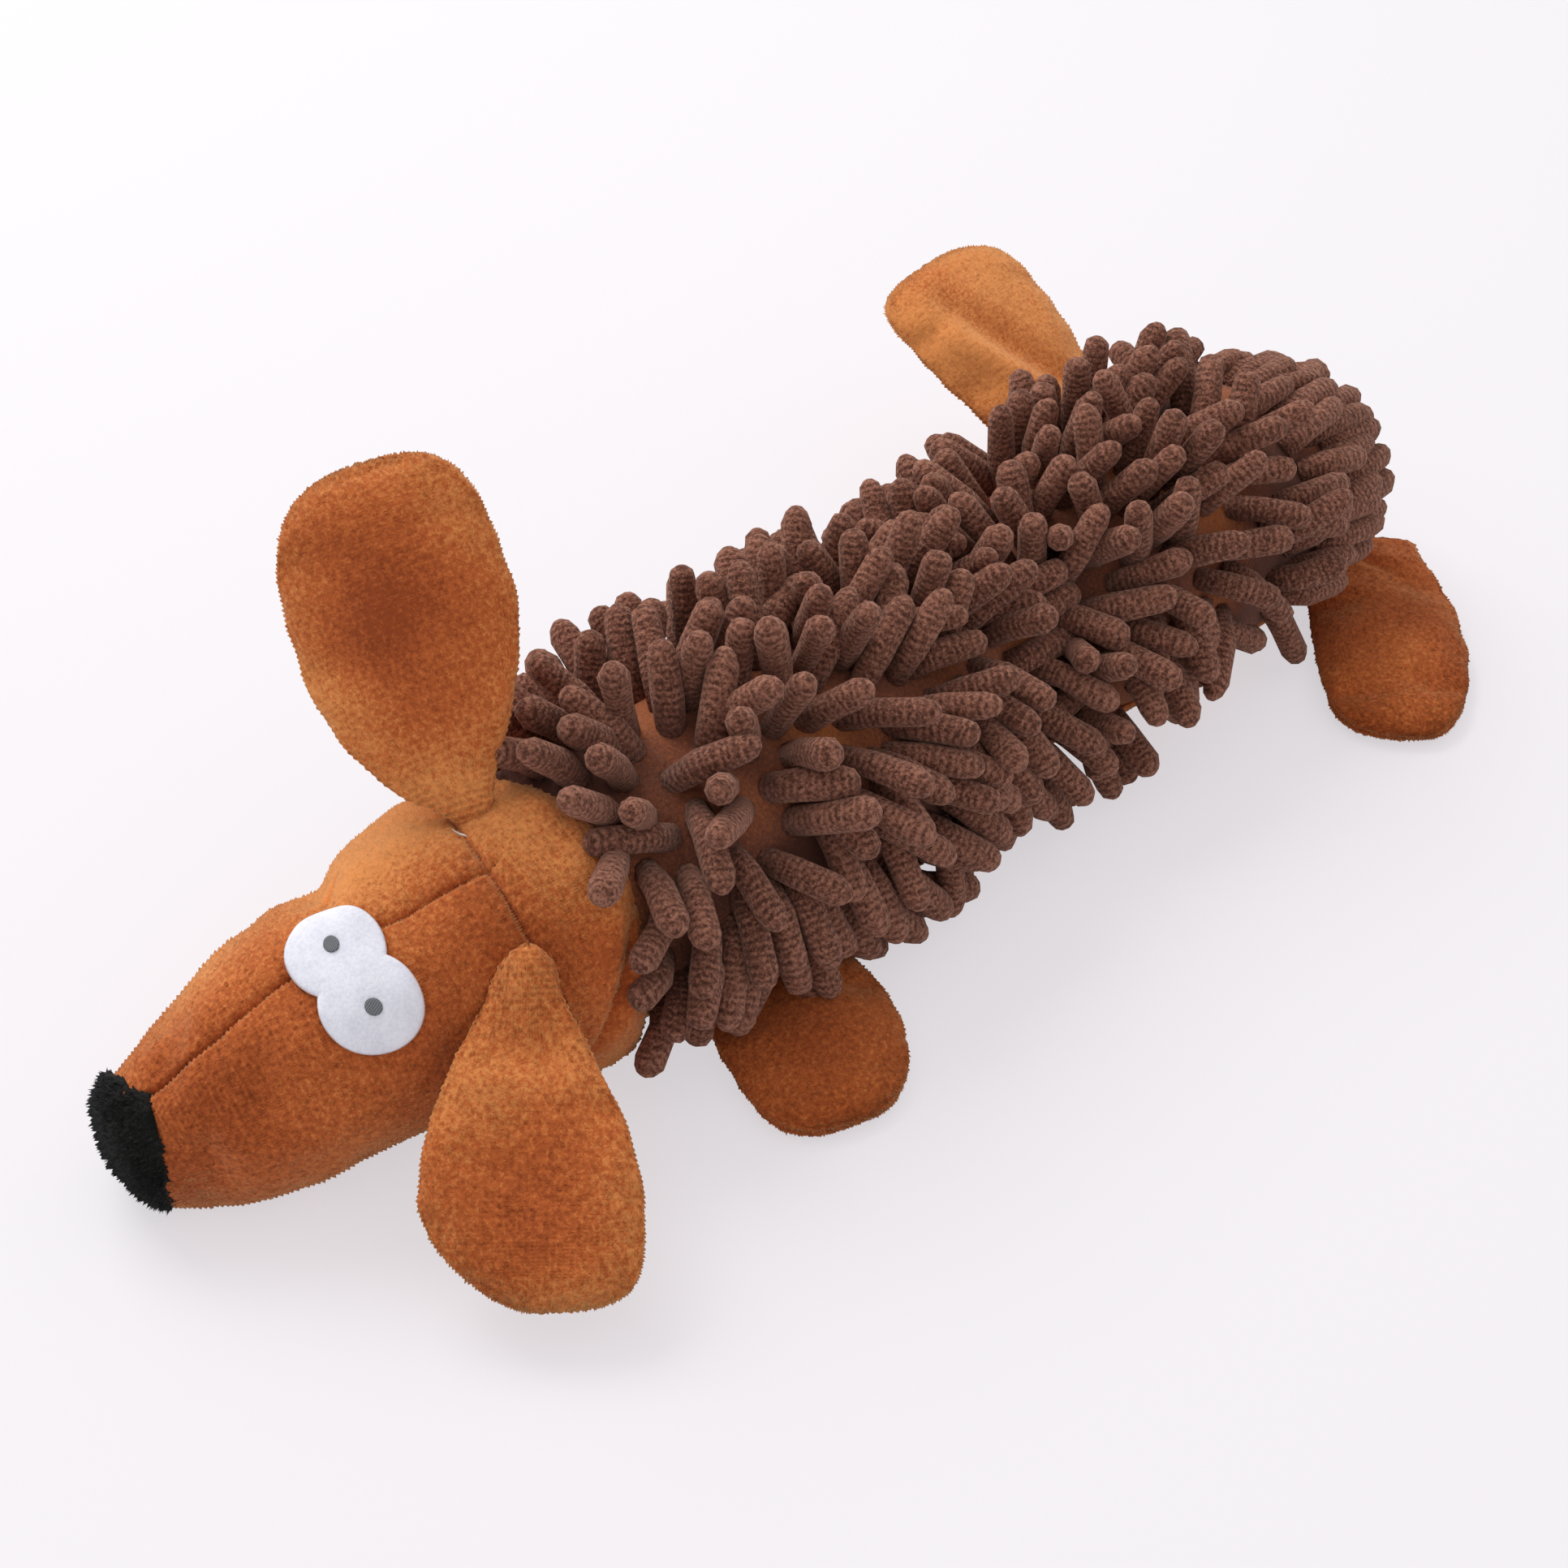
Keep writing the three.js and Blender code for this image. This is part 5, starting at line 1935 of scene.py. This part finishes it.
@dataclass
class Studio:
    """A pale floor, a soft light and the camera at the photograph's angle."""

    camera_place: tuple[float, float, float] = (0.2756, -0.2965, 0.3945)
    target: tuple[float, float, float] = (-0.0005, -0.00045, 0.030)
    view_angle: float = math.radians(34.0)
    floor_colour: tuple = linear(251, 247, 251)
    floor_width: float = 12.0
    floor_glow: float = 0.62
    sky_strength: float = 0.66
    key_power: float = 14.0
    key_place: tuple[float, float, float] = (-0.95, 0.1, 1.15)
    key_width: float = 0.9

    def put(
        self, name: str, data: bpy.types.ID, place: tuple[float, float, float]
    ) -> bpy.types.Object:
        """Puts a camera or a lamp in its place, turned to the toy."""
        holder = bpy.data.objects.new(name, data)
        holder.location = place
        aim = Vector(self.target) - Vector(place)
        holder.rotation_euler = aim.to_track_quat("-Z", "Y").to_euler()
        bpy.context.scene.collection.objects.link(holder)
        return holder

    def build_camera(self) -> None:
        """Sets the camera."""
        camera = bpy.data.cameras.new("camera")
        camera.sensor_width = 36.0
        camera.lens = camera.sensor_width / 2 / math.tan(self.view_angle / 2)
        camera.clip_start = 0.01
        bpy.context.scene.camera = self.put("camera", camera, self.camera_place)

    def build_floor(self) -> None:
        """Lays the floor, whose own colour shows pale to the camera and keeps the shadow."""
        bm = bmesh.new()
        bmesh.ops.create_grid(bm, x_segments=1, y_segments=1, size=self.floor_width / 2)
        mesh = bpy.data.meshes.new("floor")
        bm.to_mesh(mesh)
        bm.free()
        floor = bpy.data.objects.new("floor", mesh)
        bpy.context.scene.collection.objects.link(floor)
        shading = Shading("floor_sheet")
        paper = {"Base Color": linear(236, 233, 236), "Roughness": 0.9, "Specular IOR Level": 0.1}
        shading.surface(paper)
        rays = shading.add("LightPath").outputs
        seen = shading.mixed(rays["Is Camera Ray"], rays["Is Glossy Ray"], "MAXIMUM")
        glow = shading.add("Emission", {"Color": self.floor_colour, "Strength": 1.0})
        share = shading.mixed(seen, self.floor_glow, "MULTIPLY")
        own = shading.shader.outputs[0]
        mixed = shading.add("MixShader", {0: share, 1: own, 2: glow.outputs[0]})
        shading.feed(shading.tree.nodes["Material Output"], {"Surface": mixed.outputs[0]})
        mesh.materials.append(shading.material)

    def build_light(self) -> None:
        """Lights the object with a pale sky and one soft lamp from the upper left."""
        world = bpy.data.worlds.new("sky")
        world.use_nodes = True
        nodes, links = world.node_tree.nodes, world.node_tree.links
        sky = nodes["Background"]
        sky.inputs["Color"].default_value = WHITE
        sky.inputs["Strength"].default_value = self.sky_strength
        seen = nodes.new("ShaderNodeBackground")
        seen.inputs["Color"].default_value = self.floor_colour
        rays = nodes.new("ShaderNodeLightPath")
        mixed = nodes.new("ShaderNodeMixShader")
        links.new(rays.outputs["Is Camera Ray"], mixed.inputs[0])
        links.new(sky.outputs[0], mixed.inputs[1])
        links.new(seen.outputs[0], mixed.inputs[2])
        links.new(mixed.outputs[0], nodes["World Output"].inputs["Surface"])
        bpy.context.scene.world = world
        lamp = bpy.data.lights.new("key", "AREA")
        lamp.energy = self.key_power
        lamp.size = self.key_width
        self.put("key", lamp, self.key_place)

    def build(self) -> None:
        """Builds the whole setting."""
        self.build_camera()
        self.build_floor()
        self.build_light()
        bpy.context.scene.view_settings.view_transform = "Standard"


def build_ears() -> list[Flap]:
    """The two ears: the right one thrown up, the left one hanging down the cheek."""
    # The shade pairs paint light or shade over each whole ear and in its middle.
    return [
        ear(
            Side.LEFT, (22.4, 50.0), vector(0.55, -0.56, -0.6),
            outline=NEAR_EAR, tuck=1.5, peak=3.2, shade=(0.45, -1.1), seed=21,
        ),
        ear(
            Side.RIGHT, (17.0, -5.0), vector(-0.62, 0.19, 0.81),
            outline=FAR_EAR, tuck=5.0, shade=(0.45, -1.7), seed=22,
        ),
    ]


def build_feet() -> list[Flap]:
    """The four feet in their places beside the belly."""
    # The shade pairs paint light or shade over each whole foot and in its middle.
    return [
        foot(
            "front_left", CHEST, (0.2, 140), (-19, 0, 0), length=41, width=39.5, shift=6.0,
            outline=FRONT_FOOT, shade=(-0.4, -0.2), rows=64, seed=25,
        ),
        foot(
            "front_right", CHEST, (0.25, -125), (159, 12, 7), length=42, width=38,
            outline=FRONT_FOOT, rows=64, seed=26,
        ),
        foot(
            "rear_left", HIPS, (0.985, 112), (-43, -1.4, 1.6), length=66, width=44, shift=5.2,
            outline=REAR_LEFT_FOOT, shade=(-0.4, 0.2), rows=90, seed=27,
            creases=(Crease((2.0, -4.0), (9.0, 4.0), 2.0, 1.6),),
        ),
        foot(
            "rear_right", HIPS, (0.68, -120), (183, 35, 11), length=74, width=48, shift=-4.5,
            outline=REAR_RIGHT_FOOT, shade=(0.9, -0.2), rows=90, seed=28,
            creases=(
                Crease((20.0, -12.0), (62.0, 8.0), 4.5, 2.6),
                Crease((22.0, -3.0), (60.0, 16.0), 5.0, -2.0),
            ),
        ),
    ]


def main() -> None:
    """Builds the toy piece by piece, then its setting."""
    logging.basicConfig(level=logging.INFO, format="%(message)s")
    Studio().build()
    squeaker = Squeaker()
    squeaker.dress()
    squeaker.build_folds()
    head = Head()
    head.build_skin()
    head.build_neck()
    head.build_nose()
    head.build_eyes()
    head.build_stitch()
    feet = build_feet()
    for flap in [*build_ears(), *feet]:
        flap.build()
    Trunk().build()
    Mop().build(feet)


if __name__ == "__main__":
    main()
